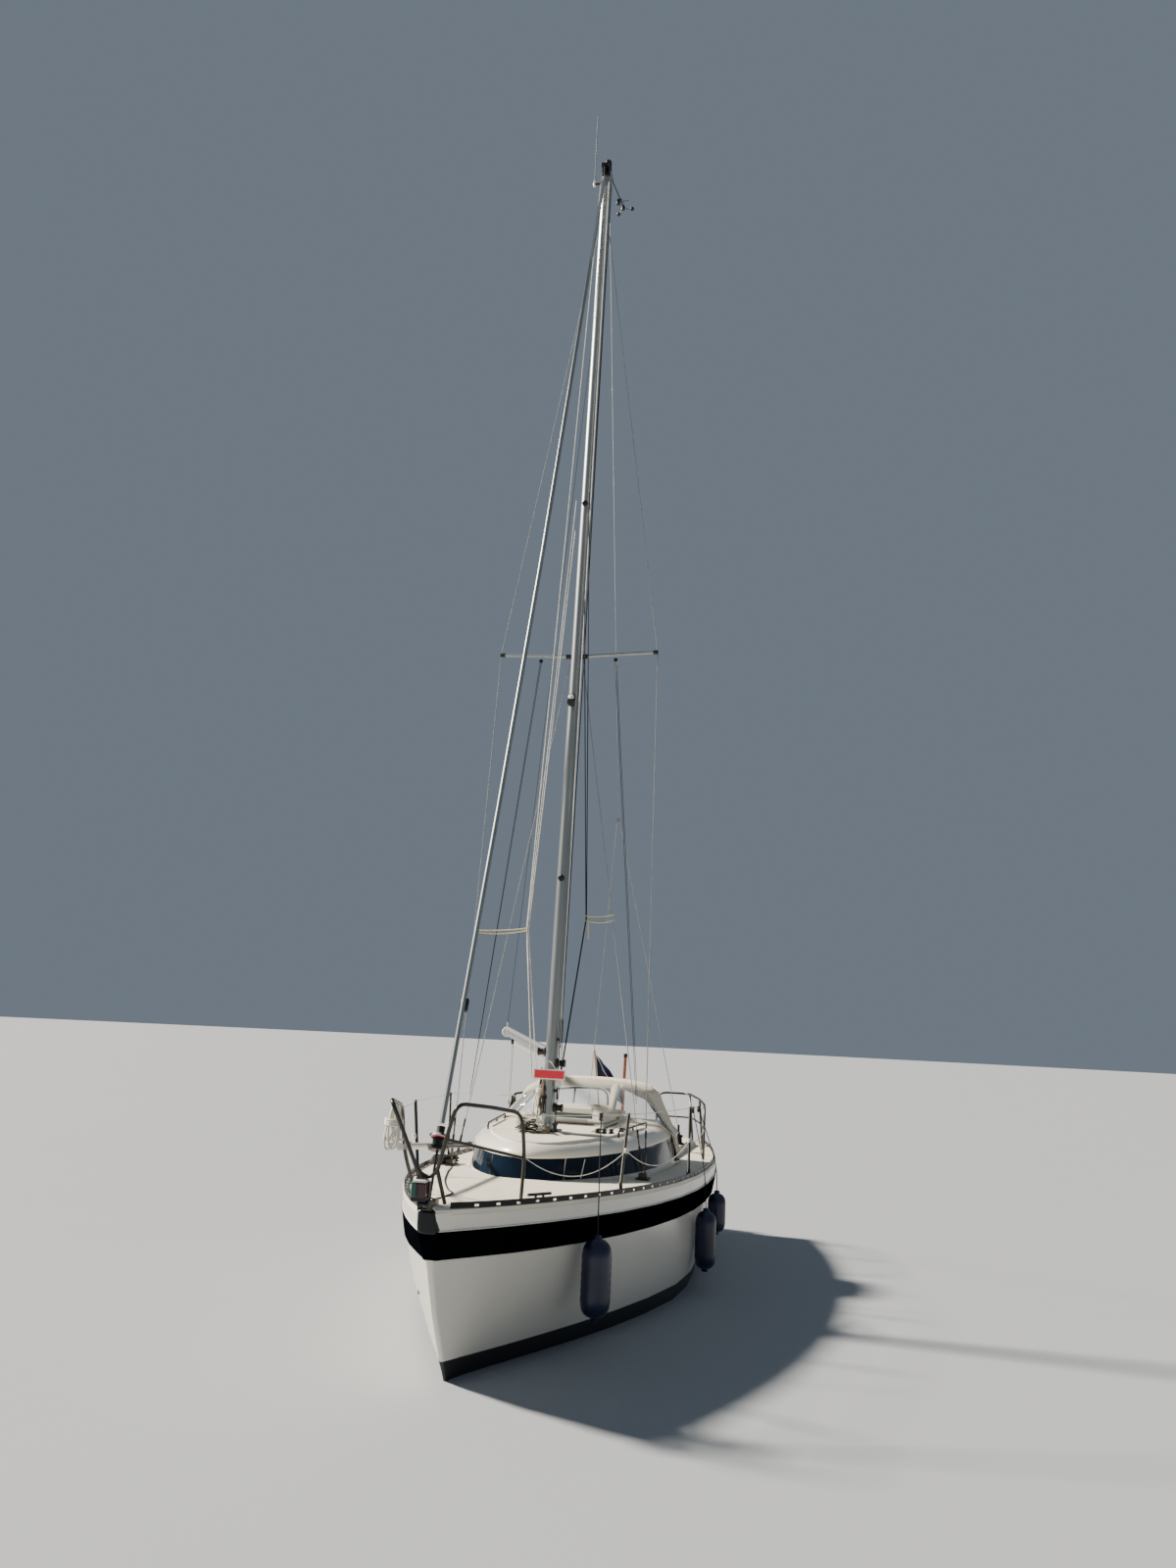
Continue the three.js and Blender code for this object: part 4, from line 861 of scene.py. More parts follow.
DRESSED = (
    # finish, edge rounding in metres, crease angle, the CAD nodes that keep their shape
    (topsides_paint, 0.0, 70.0, "hull"),
    (non_slip, 0.004, 30.0, "deck"),
    (smooth_gelcoat, 0.0, 38.0, "cabin_wall"),
    (smooth_gelcoat, 0.0, 50.0, "cabin_roof"),
    (smooth_gelcoat, 0.004, 30.0, "cabin_bulkhead"),
    (smoked_acrylic, 0.0, 40.0, "window_front window_port window_starboard"),
    (smoked_acrylic, 0.003, 30.0, "washboard"),
    (smooth_gelcoat, 0.034, 30.0, "sea_hood"),
    (smooth_gelcoat, 0.010, 30.0, "sliding_hatch"),
    (smooth_gelcoat, 0.018, 30.0, "cockpit_tub"),
    (non_slip, 0.008, 30.0, "locker_lid_port locker_lid_starboard"),
    (black_anodised, 0.002, 40.0, "winch_port winch_starboard"),
    (stainless, 0.0, 60.0, "pulpit pushpit_port pushpit_starboard"),
    (stainless, 0.0, 60.0, "stanchion_front_port stanchion_front_starboard"),
    (stainless, 0.0, 60.0, "stanchion_aft_port stanchion_aft_starboard"),
    (stainless, 0.002, 30.0, "chainplate_port chainplate_starboard"),
    (stainless, 0.001, 30.0, "rudder_hanger"),
    (black_anodised, 0.004, 30.0, "mast_step"),
    (black_plastic, 0.002, 40.0, "masthead_fitting furling_drum"),
    (mast_alloy, 0.0, 40.0, "mast"),
    (mast_alloy, 0.003, 40.0, "spreader_port spreader_starboard"),
    (mast_alloy, 0.0, 60.0, "forestay_foil"),
    (mast_alloy, 0.006, 30.0, "boom"),
    (wire, 0.0, 60.0, "cap_shroud_port cap_shroud_starboard backstay"),
    (wire, 0.0, 60.0, "lower_shroud_port lower_shroud_starboard"),
    (cast_black, 0.006, 40.0, "fin_keel"),
    (cast_black, 0.008, 30.0, "engine_block"),
    (topsides_paint, 0.002, 40.0, "rudder"),
    (varnished_wood, 0.0, 60.0, "tiller stern_post"),
    (bronze, 0.0, 40.0, "propeller"),
    (bronze, 0.002, 40.0, "shaft_strut stern_tube"),
    (light_lens, 0.012, 30.0, "nav_light"),
    (bleached_ash, 0.0, 60.0, "flagstaff"),
)


class YACHT_OT_solid_pieces(YachtOperator, bpy.types.Operator):
    """Gives the hull, deck, spars and fittings their finishes and rounds their edges"""
    bl_idname = "yacht.solid_pieces"
    bl_label = "Hull, deck, spars and fittings"

    def execute(self, context):
        for finish, rounding, crease, nodes in DRESSED:
            for node in nodes.split():
                dress(node, finish, rounding, crease)
        return {"FINISHED"}


class YACHT_OT_toe_rails(YachtOperator, bpy.types.Operator):
    """Builds the slotted black toe rails along both deck edges"""
    bl_idname = "yacht.toe_rails"
    bl_label = "Slotted toe rails"

    inset: size("Inset", "From the deck edge to the middle of the rail", 0.015)
    height: size("Height", "Height of the rail", 0.036)
    plate: size("Plate", "Thickness of the rail", 0.007)

    def execute(self, context):
        sizes = context.scene.yacht_sizes
        for end, side in SIDES:
            low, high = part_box(f"toe_rail_{end}")
            stations = []
            y = low.y + 0.01
            while y < high.y - 0.02:
                stations += [y, y + sizes.slot_long]
                y += sizes.slot_pitch
            stations.append(high.y - 0.004)
            edge = [deck_edge(y, self.inset, side) for y in stations]
            rises = (0.0, 0.006, 0.021, self.height)
            bm = bmesh.new()
            add_surface(bm, [[spot + UP * rise for spot in edge] for rise in rises])
            bm.faces.index_update()
            bays = len(stations) - 1
            middle = [face for face in bm.faces if face.index // bays == 1]
            slots = [face for face in middle if face.index % bays in range(2, bays - 2, 2)]
            bmesh.ops.delete(bm, geom=slots, context="FACES_ONLY")
            bmesh.ops.recalc_face_normals(bm, faces=bm.faces)
            bmesh.ops.solidify(bm, geom=bm.faces, thickness=self.plate)
            bmesh.ops.recalc_face_normals(bm, faces=bm.faces)
            place_piece(f"toe_rail_{end}_slotted", bm, black_anodised, crease=30.0,
                        replaces=(f"toe_rail_{end}",))
        return {"FINISHED"}


class YACHT_OT_window_trim(YachtOperator, bpy.types.Operator):
    """Fits the gaskets at the corners of the front pane and the pale strip beside it"""
    bl_idname = "yacht.window_trim"
    bl_label = "Window strips"

    def execute(self, context):
        before_panes = -3.0
        low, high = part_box("window_front")
        for end, side in SIDES:
            pane = surface_of(f"window_{end}")
            inward = Vector((-side * 0.012, 0.002, 0))
            heights = (low.z + 0.004, 1.12, 1.18, high.z - 0.004)
            path = [hit(pane, (side * 0.318, before_panes, z), AFT) + inward for z in heights]
            assemble(f"pane_gasket_{end}", black_plastic, (add_tube, path, 0.020, 8), crease=40.0)
        pane = surface_of("window_port")
        strip = ((0.413, 1.056), (0.420, 1.125), (0.427, 1.196))
        path = [hit(pane, (x, before_panes, z), AFT) for x, z in strip]
        assemble("pane_strip", white_plastic, (add_tube, path, 0.009, 8), crease=40.0)
        return {"FINISHED"}


# Bows of the sprayhood at its front and back edge, port half, from the middle to the foot
HOOD_BOW_FRONT = ((0.0, 0.790, 1.755), (0.235, 0.790, 1.752), (0.390, 0.800, 1.738), (0.500, 0.800, 1.705),
                  (0.600, 0.815, 1.650), (0.655, 0.840, 1.565), (0.872, 0.850, 1.280), (0.908, 1.010, 1.047))
HOOD_BOW_BACK = ((0.0, 1.600, 1.742), (0.250, 1.580, 1.738), (0.420, 1.540, 1.722), (0.545, 1.480, 1.692),
                 (0.640, 1.400, 1.632), (0.690, 1.300, 1.550), (0.868, 1.010, 1.270), (0.918, 1.110, 1.043))


def across_hood(half, drop):
    """A whole bow from its port half, that far under the cloth."""
    port = [Vector(p) - Vector((p[0] * drop * 1.1, 0.0, drop)) for p in half]
    return [Vector((-p.x, p.y, p.z)) for p in reversed(port[1:])] + port


class YACHT_OT_sprayhood(YachtOperator, bpy.types.Operator):
    """Stretches the sprayhood's canvas and clear windows over its tubes"""
    bl_idname = "yacht.sprayhood"
    bl_label = "Sprayhood"

    def execute(self, context):
        sizes = context.scene.yacht_sizes
        canvas = dress("sprayhood", hood_canvas, crease=70.0)
        dress("hood_window", clear_vinyl, crease=70.0)
        for name, half in (("front", HOOD_BOW_FRONT), ("back", HOOD_BOW_BACK)):
            bow = smooth_path(across_hood(half, 0.022), 0.06)
            tube_piece(f"hood_bow_{name}", bow, sizes.bow_tube, stainless)
        hem = smooth_path(across_hood(HOOD_BOW_BACK, -0.001), 0.04)
        tube_piece("hood_hem_back", hem, sizes.hem, hood_canvas)
        return {"FINISHED"}


class YACHT_OT_sign(YachtOperator, bpy.types.Operator):
    """Hangs the blank red sign with its white border on the mast"""
    bl_idname = "yacht.sign"
    bl_label = "Sale sign"

    border: size("Border", "Width of the white edge", 0.010)
    hook_height: size("Hook", "Height of the strings' hook over the water", 1.95)

    def execute(self, context):
        low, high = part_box("sale_sign")
        assemble("sign_border", sign_border, (add_box, low, high), (round_edges, 0.0008, 1),
                 replaces=("sale_sign",), slot="sign")
        edge = Vector((self.border, 0, self.border))
        skin = AFT * 0.0012
        assemble("sign_face", sign_plastic, (add_box, low + edge - skin, high - edge + skin), slot="sign")
        hook = mast_at(self.hook_height) - AFT * (MAST_HALF_ALONG + 0.004)
        strings = [
            [(x, low.y + 0.002, high.z - 0.004), (x * 0.5, low.y - 0.003, high.z + 0.05), hook]
            for x in (low.x + 0.07, high.x - 0.08)
        ]
        tubes_piece("sign_strings", strings, context.scene.yacht_sizes.thin_line, white_rope)
        return {"FINISHED"}


class YACHT_OT_flag(YachtOperator, bpy.types.Operator):
    """Hangs the flag from its staff in deep folds"""
    bl_idname = "yacht.flag"
    bl_label = "Flag"

    def execute(self, context):
        staff_low, staff_high = Vector((-0.395, 3.700, 1.008)), Vector((-0.520, 3.715, 1.990))
        head = staff_low.lerp(staff_high, 0.955)
        foot = staff_low.lerp(staff_high, 0.60)
        bm = bmesh.new()
        bmesh.ops.create_grid(bm, x_segments=40, y_segments=24, size=0.5, calc_uvs=True)
        uv = bm.loops.layers.uv.verify()
        for v in bm.verts:
            across, down = v.co.x + 0.5, 0.5 - v.co.y
            for loop in v.link_loops:
                loop[uv].uv = (across, down)
            fall = 0.36 * across ** 1.1 * (1 - 0.3 * down)
            fold = 0.040 * math.sin(across * 15.0 + down * 2.4) * min(1.0, across * 3)
            v.co = head.lerp(foot, down) + Vector((0.33 * across + 0.014, 0.006 + fold * 0.8, -fall))
        flag = place_piece("flag_cloth", bm, flag_cloth, crease=180.0, replaces=("flag",), slot="flag")
        flag.modifiers.new("cloth", "SOLIDIFY").thickness = 0.001
        return {"FINISHED"}


HALYARDS = (
    # name, finish, points from the masthead or a sheave down to the mast's foot
    ("halyard_starboard_1", white_rope, ((-0.056, -0.69, 7.2), (-0.306, -0.66, 3.083), (-0.145, -0.84, 1.8))),
    ("halyard_starboard_2", white_rope, ((-0.056, -0.67, 6.9), (-0.296, -0.65, 3.075), (-0.095, -0.85, 1.8))),
    ("halyard_starboard_3", white_rope, ((-0.05, -0.385, 10.95), (-0.312, -0.655, 3.09), (-0.15, -0.8, 1.8))),
    ("halyard_port_1", dark_rope, ((0.056, -0.650, 7.30), (0.233, -0.660, 3.194), (0.100, -0.800, 1.80))),
    ("halyard_port_2", dark_rope, ((0.056, -0.640, 6.30), (0.226, -0.650, 3.190), (0.088, -0.770, 1.80))),
    ("halyard_port_3", dark_rope, ((0.050, -0.330, 10.95), (0.066, -0.560, 5.40), (0.068, -0.715, 2.10))),
    ("halyard_port_4", white_rope, ((0.040, -0.395, 10.95), (0.072, -0.700, 4.30), (0.075, -0.780, 1.80))),
)
HALYARD_TIES = (
    # name, and for each of its bands where it starts, where it ends and how far it sags
    ("tie_starboard", (((-0.300, -0.655, 3.090), (-0.805, -0.632, 3.060), 0.010),
                       ((-0.300, -0.660, 3.070), (-0.805, -0.632, 3.048), 0.022))),
    ("tie_port", (((0.224, -0.660, 3.215), (0.470, -0.610, 3.235), 0.010),
                  ((0.224, -0.660, 3.175), (0.475, -0.610, 3.185), 0.018),
                  ((0.250, -0.662, 3.170), (0.262, -0.668, 3.010), 0.0))),
)
FLAG_BLOCK = mm("0 -10, 16 -10, 20 0, 16 10, 0 10")


class YACHT_OT_halyards(YachtOperator, bpy.types.Operator):
    """Runs the halyards down the mast, with the ties that hold them off it and the flag halyards"""
    bl_idname = "yacht.halyards"
    bl_label = "Halyards and ties"

    def execute(self, context):
        sizes = context.scene.yacht_sizes
        for name, finish, points in HALYARDS:
            tube_piece(name, points, sizes.halyard, finish)
        for name, bands in HALYARD_TIES:
            tubes_piece(name, [hanging(*band) for band in bands], 0.013, cream_webbing)
        for end, side in SIDES:
            block = Vector((side * 0.362, -0.535, 5.640))
            cleat = Vector((side * 0.742, -0.650, 1.620))
            back = [block + Vector((0.012, 0.0, 0.0)), cleat + Vector((0.004, 0.012, 0.06))]
            tubes_piece(f"flag_halyard_{end}", [[block, cleat], back], sizes.thin_line, dark_rope, sides=6)
            middle = block + Vector((0.006, 0.0, 0.0))
            turned_piece(f"flag_block_{end}", black_plastic, FLAG_BLOCK, middle, AFT)
        return {"FINISHED"}


def bow_corner(hull, z):
    """Where the port topsides turn into the narrow stem face at a height."""
    front = [hit(hull, (0.002 * k, AHEAD, z), AFT) for k in range(1, 34)]
    foremost = min(point.y for point in front)
    return max((point for point in front if point.y < foremost + 0.001), key=lambda point: point.x)


def round_the_hull(hull, drop, proud, rows=60):
    """Points round the bow at one height under the deck edge, from port to starboard, that far proud."""
    bow_z = deck_edge(-LENGTH / 2).z - drop
    corner = bow_corner(hull, bow_z)
    port = []
    for i in range(rows, 0, -1):
        y = corner.y + (STRAKE_AFT_END - corner.y) * (i / rows) ** 1.6
        point = hit(hull, (ABEAM, y, deck_edge(y).z - drop), (-1, 0, 0))
        port.append(point + Vector((proud, 0, 0)))
    for i in range(5):
        angle = math.pi / 8 * i
        port.append(corner + Vector((math.cos(angle), -math.sin(angle), 0)) * proud)
    port += [Vector((corner.x * share, corner.y - proud, bow_z)) for share in (0.66, 0.33, 0.0)]
    return to_starboard(port)


def stem_row(hull, drop, proud):
    """Points of the bow cap across the stem at one height under the deck edge, that far proud."""
    bow_z = deck_edge(-LENGTH / 2).z - drop
    corner = bow_corner(hull, bow_z)
    half = 0.050 + 0.17 * drop
    port = []
    for share, standing in ((1.0, -0.3), (0.97, 0.5), (0.86, 1.0), (0.5, 1.05), (0.0, 1.08)):
        x = half * share
        y = corner.y if x < corner.x else hit(hull, (x, AHEAD, bow_z), AFT).y
        port.append(Vector((x, y - proud * standing, bow_z)))
    return to_starboard(port)


def facing_row(hull, z):
    """Points across the stem at a height: just clear of the topsides, and straight between their corners."""
    corner = bow_corner(hull, z)
    port = []
    for wrap, lift in ((0.060, 0.0004), (0.040, 0.002), (0.022, 0.003), (0.010, 0.0035)):
        port.append(hit(hull, (corner.x + wrap, AHEAD, z), AFT) - AFT * lift)
    for share, lift in ((1.0, 0.004), (0.5, 0.005), (0.0, 0.006)):
        port.append(Vector((corner.x * share, corner.y - lift, z)))
    return to_starboard(port)


class YACHT_OT_band(YachtOperator, bpy.types.Operator):
    """Wraps the black band, the pale bead along its top as a painted highlight of its rounded edge, and the
    bow cap round the hull, and faces the stem
    """
    bl_idname = "yacht.band"
    bl_label = "Black band and bow cap"

    proud: size("Proud", "How far the band stands out from the topsides", 0.013)
    # The pale bead is a painted highlight: the light that the band's rounded top edge catches
    bead: size("Bead", "Diameter of the pale bead along the top of the band", 0.009)
    cap_proud: size("Cap", "How far the bow cap stands out", 0.019)

    def execute(self, context):
        hull = surface_of("hull", "deck")
        top, low = STRAKE_TOP_BELOW_DECK, STRAKE_LOW_BELOW_DECK
        # Sections of the band and the cap: depth under the deck edge, share of how far they stand out
        band = ((top, 0.0), (top + 0.001, 0.7), (top + 0.007, 1.0), (top + 0.060, 1.1),
                (low - 0.060, 1.1), (low - 0.007, 1.0), (low - 0.001, 0.7), (low, 0.0))
        cap = ((0.006, 0.5), (0.012, 0.9), (0.026, 1.0), (0.070, 1.05),
               (0.112, 1.1), (0.132, 1.05), (0.139, 0.8), (0.142, 0.5))
        rows = [round_the_hull(hull, drop, share * self.proud) for drop, share in band]
        assemble("band_strip", band_plastic, (add_wall, rows, 0.002), crease=50.0,
                 replaces=("rubbing_strake",), slot="black")
        rows = [stem_row(hull, drop, share * self.cap_proud) for drop, share in cap]
        lid, crown = (
            [Vector((point.x * narrow, point.y + back, point.z + over)) for point in rows[0]]
            for narrow, back, over in ((0.4, 0.030, 0.016), (0.84, 0.008, 0.012))
        )
        piece = assemble("bow_cap", cap_plastic, (add_wall, [lid, crown, *rows], 0.003), crease=60.0,
                         slot="black")
        smooth = piece.modifiers.new("moulded round", "SUBSURF")
        smooth.levels = smooth.render_levels = 2
        rows = [facing_row(hull, 1.085 - 0.02 * i) for i in range(70)]
        assemble("stem_facing", topsides_paint, (add_wall, rows, 0.002), crease=80.0, slot="gelcoat")
        # Painted highlight: a white bead standing for the light along the band's top edge
        tube_piece("band_bead", round_the_hull(hull, top - 0.004, 0.005), self.bead, white_plastic)
        return {"FINISHED"}


# The mast panel's outline: place along the roof, half width
ROOF_PANEL = ((-1.405, 0.05), (-1.395, 0.10), (-1.36, 0.165), (-1.29, 0.243), (-1.17, 0.325), (-1.03, 0.402),
              (-0.88, 0.466), (-0.724, 0.516), (-0.58, 0.558), (-0.432, 0.594), (-0.25, 0.628),
              (-0.05, 0.655), (0.15, 0.676), (0.36, 0.690))
TURNING_BLOCK = mm("0 0, 24 0, 24 12, 12 20, 22 28, 22 36, 0 38")


class YACHT_OT_roof_panel(YachtOperator, bpy.types.Operator):
    """Raises the mast panel on the cabin roof and fits the gear that stands on it"""
    bl_idname = "yacht.roof_panel"
    bl_label = "Roof panel and deck gear"

    rise: size("Rise", "How far the panel stands over the roof", 0.010)
    sunk: size("Sunk", "How far its rim and the part under the hatch lie below the roof", 0.004)

    def execute(self, context):
        halyard = context.scene.yacht_sizes.halyard
        roof = surface_of("cabin_roof")
        hood_low, hood_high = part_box("sea_hood")
        rows = []
        for i, (y, half) in enumerate(ROOF_PANEL):
            row = []
            for k in range(17):
                share = -1 + k / 8
                x = half * share
                edge = abs(share) == 1.0 or i in (0, len(ROOF_PANEL) - 1)
                under_hatch = y > hood_low.y and hood_low.x - 0.03 < x < hood_high.x + 0.03
                row.append(on_top(roof, x, y, -self.sunk if edge or under_hatch else self.rise))
            row[1].x, row[-2].x = -half + 0.012, half - 0.012
            rows.append(row)
        assemble("roof_panel", non_slip, (add_surface, rows), crease=40.0, slot="deck")

        places = ((0.400, -0.560), (0.450, -0.520), (0.505, -0.480), (0.560, -0.300))
        blocks = [(add_turned, TURNING_BLOCK, on_top(roof, x, y, self.rise), UP, 16) for x, y in places]
        assemble("roof_turning_blocks", black_plastic, *blocks, crease=40.0)
        for end, side in SIDES:
            spots = [(side * (0.585 + 0.012 * k), -0.55 + 0.11 * k) for k in range(9)]
            feet = [on_top(roof, x, y, 0.002) for x, y in spots]
            rail = [on_top(roof, x, y, 0.048) for x, y in spots]
            assemble(f"grab_rail_{end}", stainless,
                     (add_tube, smooth_path([feet[0], *rail, feet[-1]], 0.03), 0.018, 10),
                     (add_tube, [feet[4], feet[4] + UP * 0.045], 0.016, 10), crease=50.0, slot="steel")
        for i, (x, finish) in enumerate(((0.335, white_rope), (0.375, dark_rope), (0.420, white_rope))):
            run = []
            for k in range(14):
                drift = 0.03 * i * (k / 13) + 0.004 * math.sin(k * 1.3 + i)
                run.append(on_top(roof, x + drift, -0.52 + 0.070 * k, self.rise + 0.006))
            tube_piece(f"led_aft_line_{i + 1}", run, halyard, finish)
        return {"FINISHED"}


HEAPS = (
    # name, middle, reach across, reach along, height, loops, finish, seed
    ("tail_heap_white", (-0.095, -0.900), 0.120, 0.075, 0.190, 13, white_rope, 21),
    ("tail_heap_outer", (-0.210, -0.860), 0.085, 0.065, 0.150, 9, white_rope, 22),
    # Painted shadow: this dark heap lies under the white loops and stands for the shadows in the gaps between
    # them
    ("tail_heap_dark", (-0.120, -0.930), 0.130, 0.070, 0.130, 8, dark_rope, 23),
    ("tail_heap_port", (0.020, -0.930), 0.060, 0.045, 0.075, 5, tan_rope, 24),
)
TAIL_STOPPER = mm("0 -30, 10 -30, 14 0, 10 30, 0 30")
FOOT_BLOCK = mm("0 0, 26 0, 26 10, 17 18, 16 50, 24 62, 24 75, 0 80")
MAST_WINCH = mm("0 0, 40 0, 40 10, 28 18, 26 50, 34 62, 34 72, 12 74, 0 74")


def heap_path(roof, middle, across, along, height, loops, thick, seed):
    """Loose turns piled on the roof: each lies its own way, and the pile narrows as it rises."""
    chance = random.Random(seed)
    steps = 22
    path = []
    for k in range(loops * steps):
        a = 2 * math.pi * k / steps
        if k % steps == 0:
            cx, cy = chance.uniform(-0.25, 0.25), chance.uniform(-0.25, 0.25)
            rx, ry = chance.uniform(0.55, 1.0), chance.uniform(0.55, 1.0)
            tilt, lean = chance.uniform(-0.35, 0.35), chance.uniform(0, 6.28)
        level = k / (loops * steps)
        shrink = 1 - 0.45 * level
        x = middle[0] + across * shrink * (rx * math.cos(a) + cx)
        y = middle[1] + along * shrink * (ry * math.sin(a + tilt) + cy)
        wave = 0.5 + 0.5 * math.sin(a + lean)
        path.append(on_top(roof, x, y, 0.010 + thick / 2 + height * level * (0.55 + 0.45 * wave)))
    return relaxed(path, 3)


class YACHT_OT_mast_foot(YachtOperator, bpy.types.Operator):
    """Piles the halyard tails round the mast's foot and fits its winches, cleats and sail track"""
    bl_idname = "yacht.mast_foot"
    bl_label = "Mast foot"

    def execute(self, context):
        halyard = context.scene.yacht_sizes.halyard
        roof = surface_of("cabin_roof")
        for name, middle, across, along, height, loops, finish, seed in HEAPS:
            path = heap_path(roof, middle, across, along, height, loops, halyard, seed)
            ball = turns_round(path[-1], 0.008, -0.008, 0.0018, 9)
            knot = tube_piece(f"{name}_knot", ball, halyard, finish)
            free_rope(name, path, halyard, finish)
        tails = [
            ((0.074 + shift, -0.788, 2.30), (0.078 + shift, -0.800, 1.820), (0.084, -0.838, 1.450))
            for shift in (0.0, 0.022)
        ]
        tubes_piece("port_halyard_tails", [smooth_path(tail, 0.05) for tail in tails], 0.007, dark_rope)
        # Painted highlight: the stoppers are white to stand for the highlights on dark blocks at this place
        stoppers = [(add_turned, TAIL_STOPPER, (x, -0.806, 1.760), UP, 12) for x in (0.074, 0.098)]
        assemble("tail_stoppers", white_plastic, *stoppers, crease=40.0)
        bases = [on_top(roof, x, y, 0.008) for x, y in ((-0.150, -0.935), (0.088, -0.850))]
        blocks = [(add_turned, FOOT_BLOCK, base, UP, 18) for base in bases]
        assemble("mast_foot_blocks", black_plastic, *blocks, crease=40.0)
        for i, (side, z) in enumerate(((1, 1.930), (-1, 2.020), (1, 1.560))):
            middle = mast_at(z) + Vector((side * (MAST_HALF_ACROSS - 0.002), 0.0, 0.0))
            turned_piece(f"mast_winch_{i + 1}", stainless, MAST_WINCH, middle, (side, 0, 0), crease=40.0,
                         slot="steel")
        cleats = []
        for side, z in ((1, 1.700), (-1, 1.820), (-1, 1.640), (1, 2.130)):
            foot = mast_at(z) + Vector((side * MAST_HALF_ACROSS, -0.030, 0.0))
            outer = foot + Vector((0.014 * side + 0.006, 0.012, 0.012))
            bar = foot + Vector((side * 0.020, 0, 0))
            cleats += [
                (add_box, foot - Vector((0.010, 0.012, 0.012)), outer),
                (add_tube, [bar + UP * h for h in (-0.070, -0.035, 0.035, 0.070)], 0.016, 10),
            ]
        assemble("mast_cleats", black_plastic, *cleats, crease=40.0)
        behind = AFT * (MAST_HALF_ALONG + 0.003)
        track = [
            (add_tube, [mast_at(z) + behind, mast_at(min(z + 1.8, 10.9)) + behind], 0.014, 6)
            for z in (2.60, 4.40, 6.20, 8.00, 9.80)
        ]
        assemble("mast_sail_track", black_anodised, *track, crease=40.0, slot="dark_alloy")
        return {"FINISHED"}


RIGGING_SCREW = mm("0 0, 6 0, 6 50, 11 56, 11 200, 6 206, 6 270, 9 275, 9 330, 4 345, 0 345")
# Cap shroud and lower shroud on the port side, foot and head
SHROUDS = (((0.849, -0.722, 1.078), (0.761, -0.508, 5.715)), ((0.818, -0.677, 1.078), (0.058, -0.560, 5.600)))
SHEAVE = mm("0 -4, 36 -4, 30 0, 36 4, 0 4")
EXIT_PLATE = mm("0 -20, 30 -20, 30 6, 20 20, 0 22")
SPOOL = Vector((0.0, -3.660, 1.497))
STAY = Vector((0, 3.196, 9.399)).normalized()
RIG_FITTINGS = (
    # name, finish, profile, place, axis, steps
    ("furler_swivel", black_plastic,
     mm("0 0, 26 0, 30 14, 30 75, 24 92, 0 92"),
     (0.0, -3.330, 2.292), (0, 0.29, 0.957), 20),
    ("furler_spool", white_plastic,
     mm("0 22, 46 22, 50 27, 48 36, 26 44, 0 44"),
     SPOOL, STAY, 28),
    ("furler_red_band", sign_plastic, mm("0 15, 45 15, 45 21, 0 21"), SPOOL, STAY, 24),
    ("furler_guard", black_plastic,
     mm("0 -60, 52 -60, 54 -50, 32 -44, 34 6, 46 14, 0 14.5"),
     SPOOL, STAY, 28),
    ("masthead_light", black_plastic,
     mm("0 0, 34 0, 36 12, 36 70, 30 80, 0 82"),
     (0.0, mast_at(MASTHEAD).y + 0.010, 11.212), UP, 20),
    ("aerial_foot", white_plastic, mm("0 0, 14 0, 16 30, 6 75, 0 75"),
     (-0.138, -0.304, 10.990), UP, 14),
)


def add_gauge(bm):
    """The wind gauge on its arm: three cups round a hub, and the vane over them."""
    start, hub = Vector((0.030, -0.210, 11.125)), Vector((0.086, 0.163, 11.080))
    add_tube(bm, smooth_path([start, start.lerp(hub, 0.5) + UP * 0.006, hub], 0.05), 0.012, 10)
    add_turned(bm, mm("0 -35, 20 -35, 22 0, 12 20, 0 20"), hub, steps=16)
    for turn in (0.15, 2.25, 4.34):
        cup = hub + Vector((math.cos(turn) * 0.100, math.sin(turn) * 0.100, -0.022))
        add_tube(bm, [hub - UP * 0.022, cup], 0.006, 6)
        where = Matrix.Translation(cup)
        bmesh.ops.create_uvsphere(bm, u_segments=14, v_segments=8, radius=0.022, matrix=where)
    vane = hub + UP * 0.075
    add_tube(bm, [hub, vane], 0.006, 6)
    add_box(bm, vane + Vector((-0.070, -0.001, -0.010)), vane + Vector((-0.020, 0.001, 0.035)))
    add_tube(bm, [vane + Vector((-0.05, 0, 0)), vane + Vector((0.06, 0, 0))], 0.006, 6)


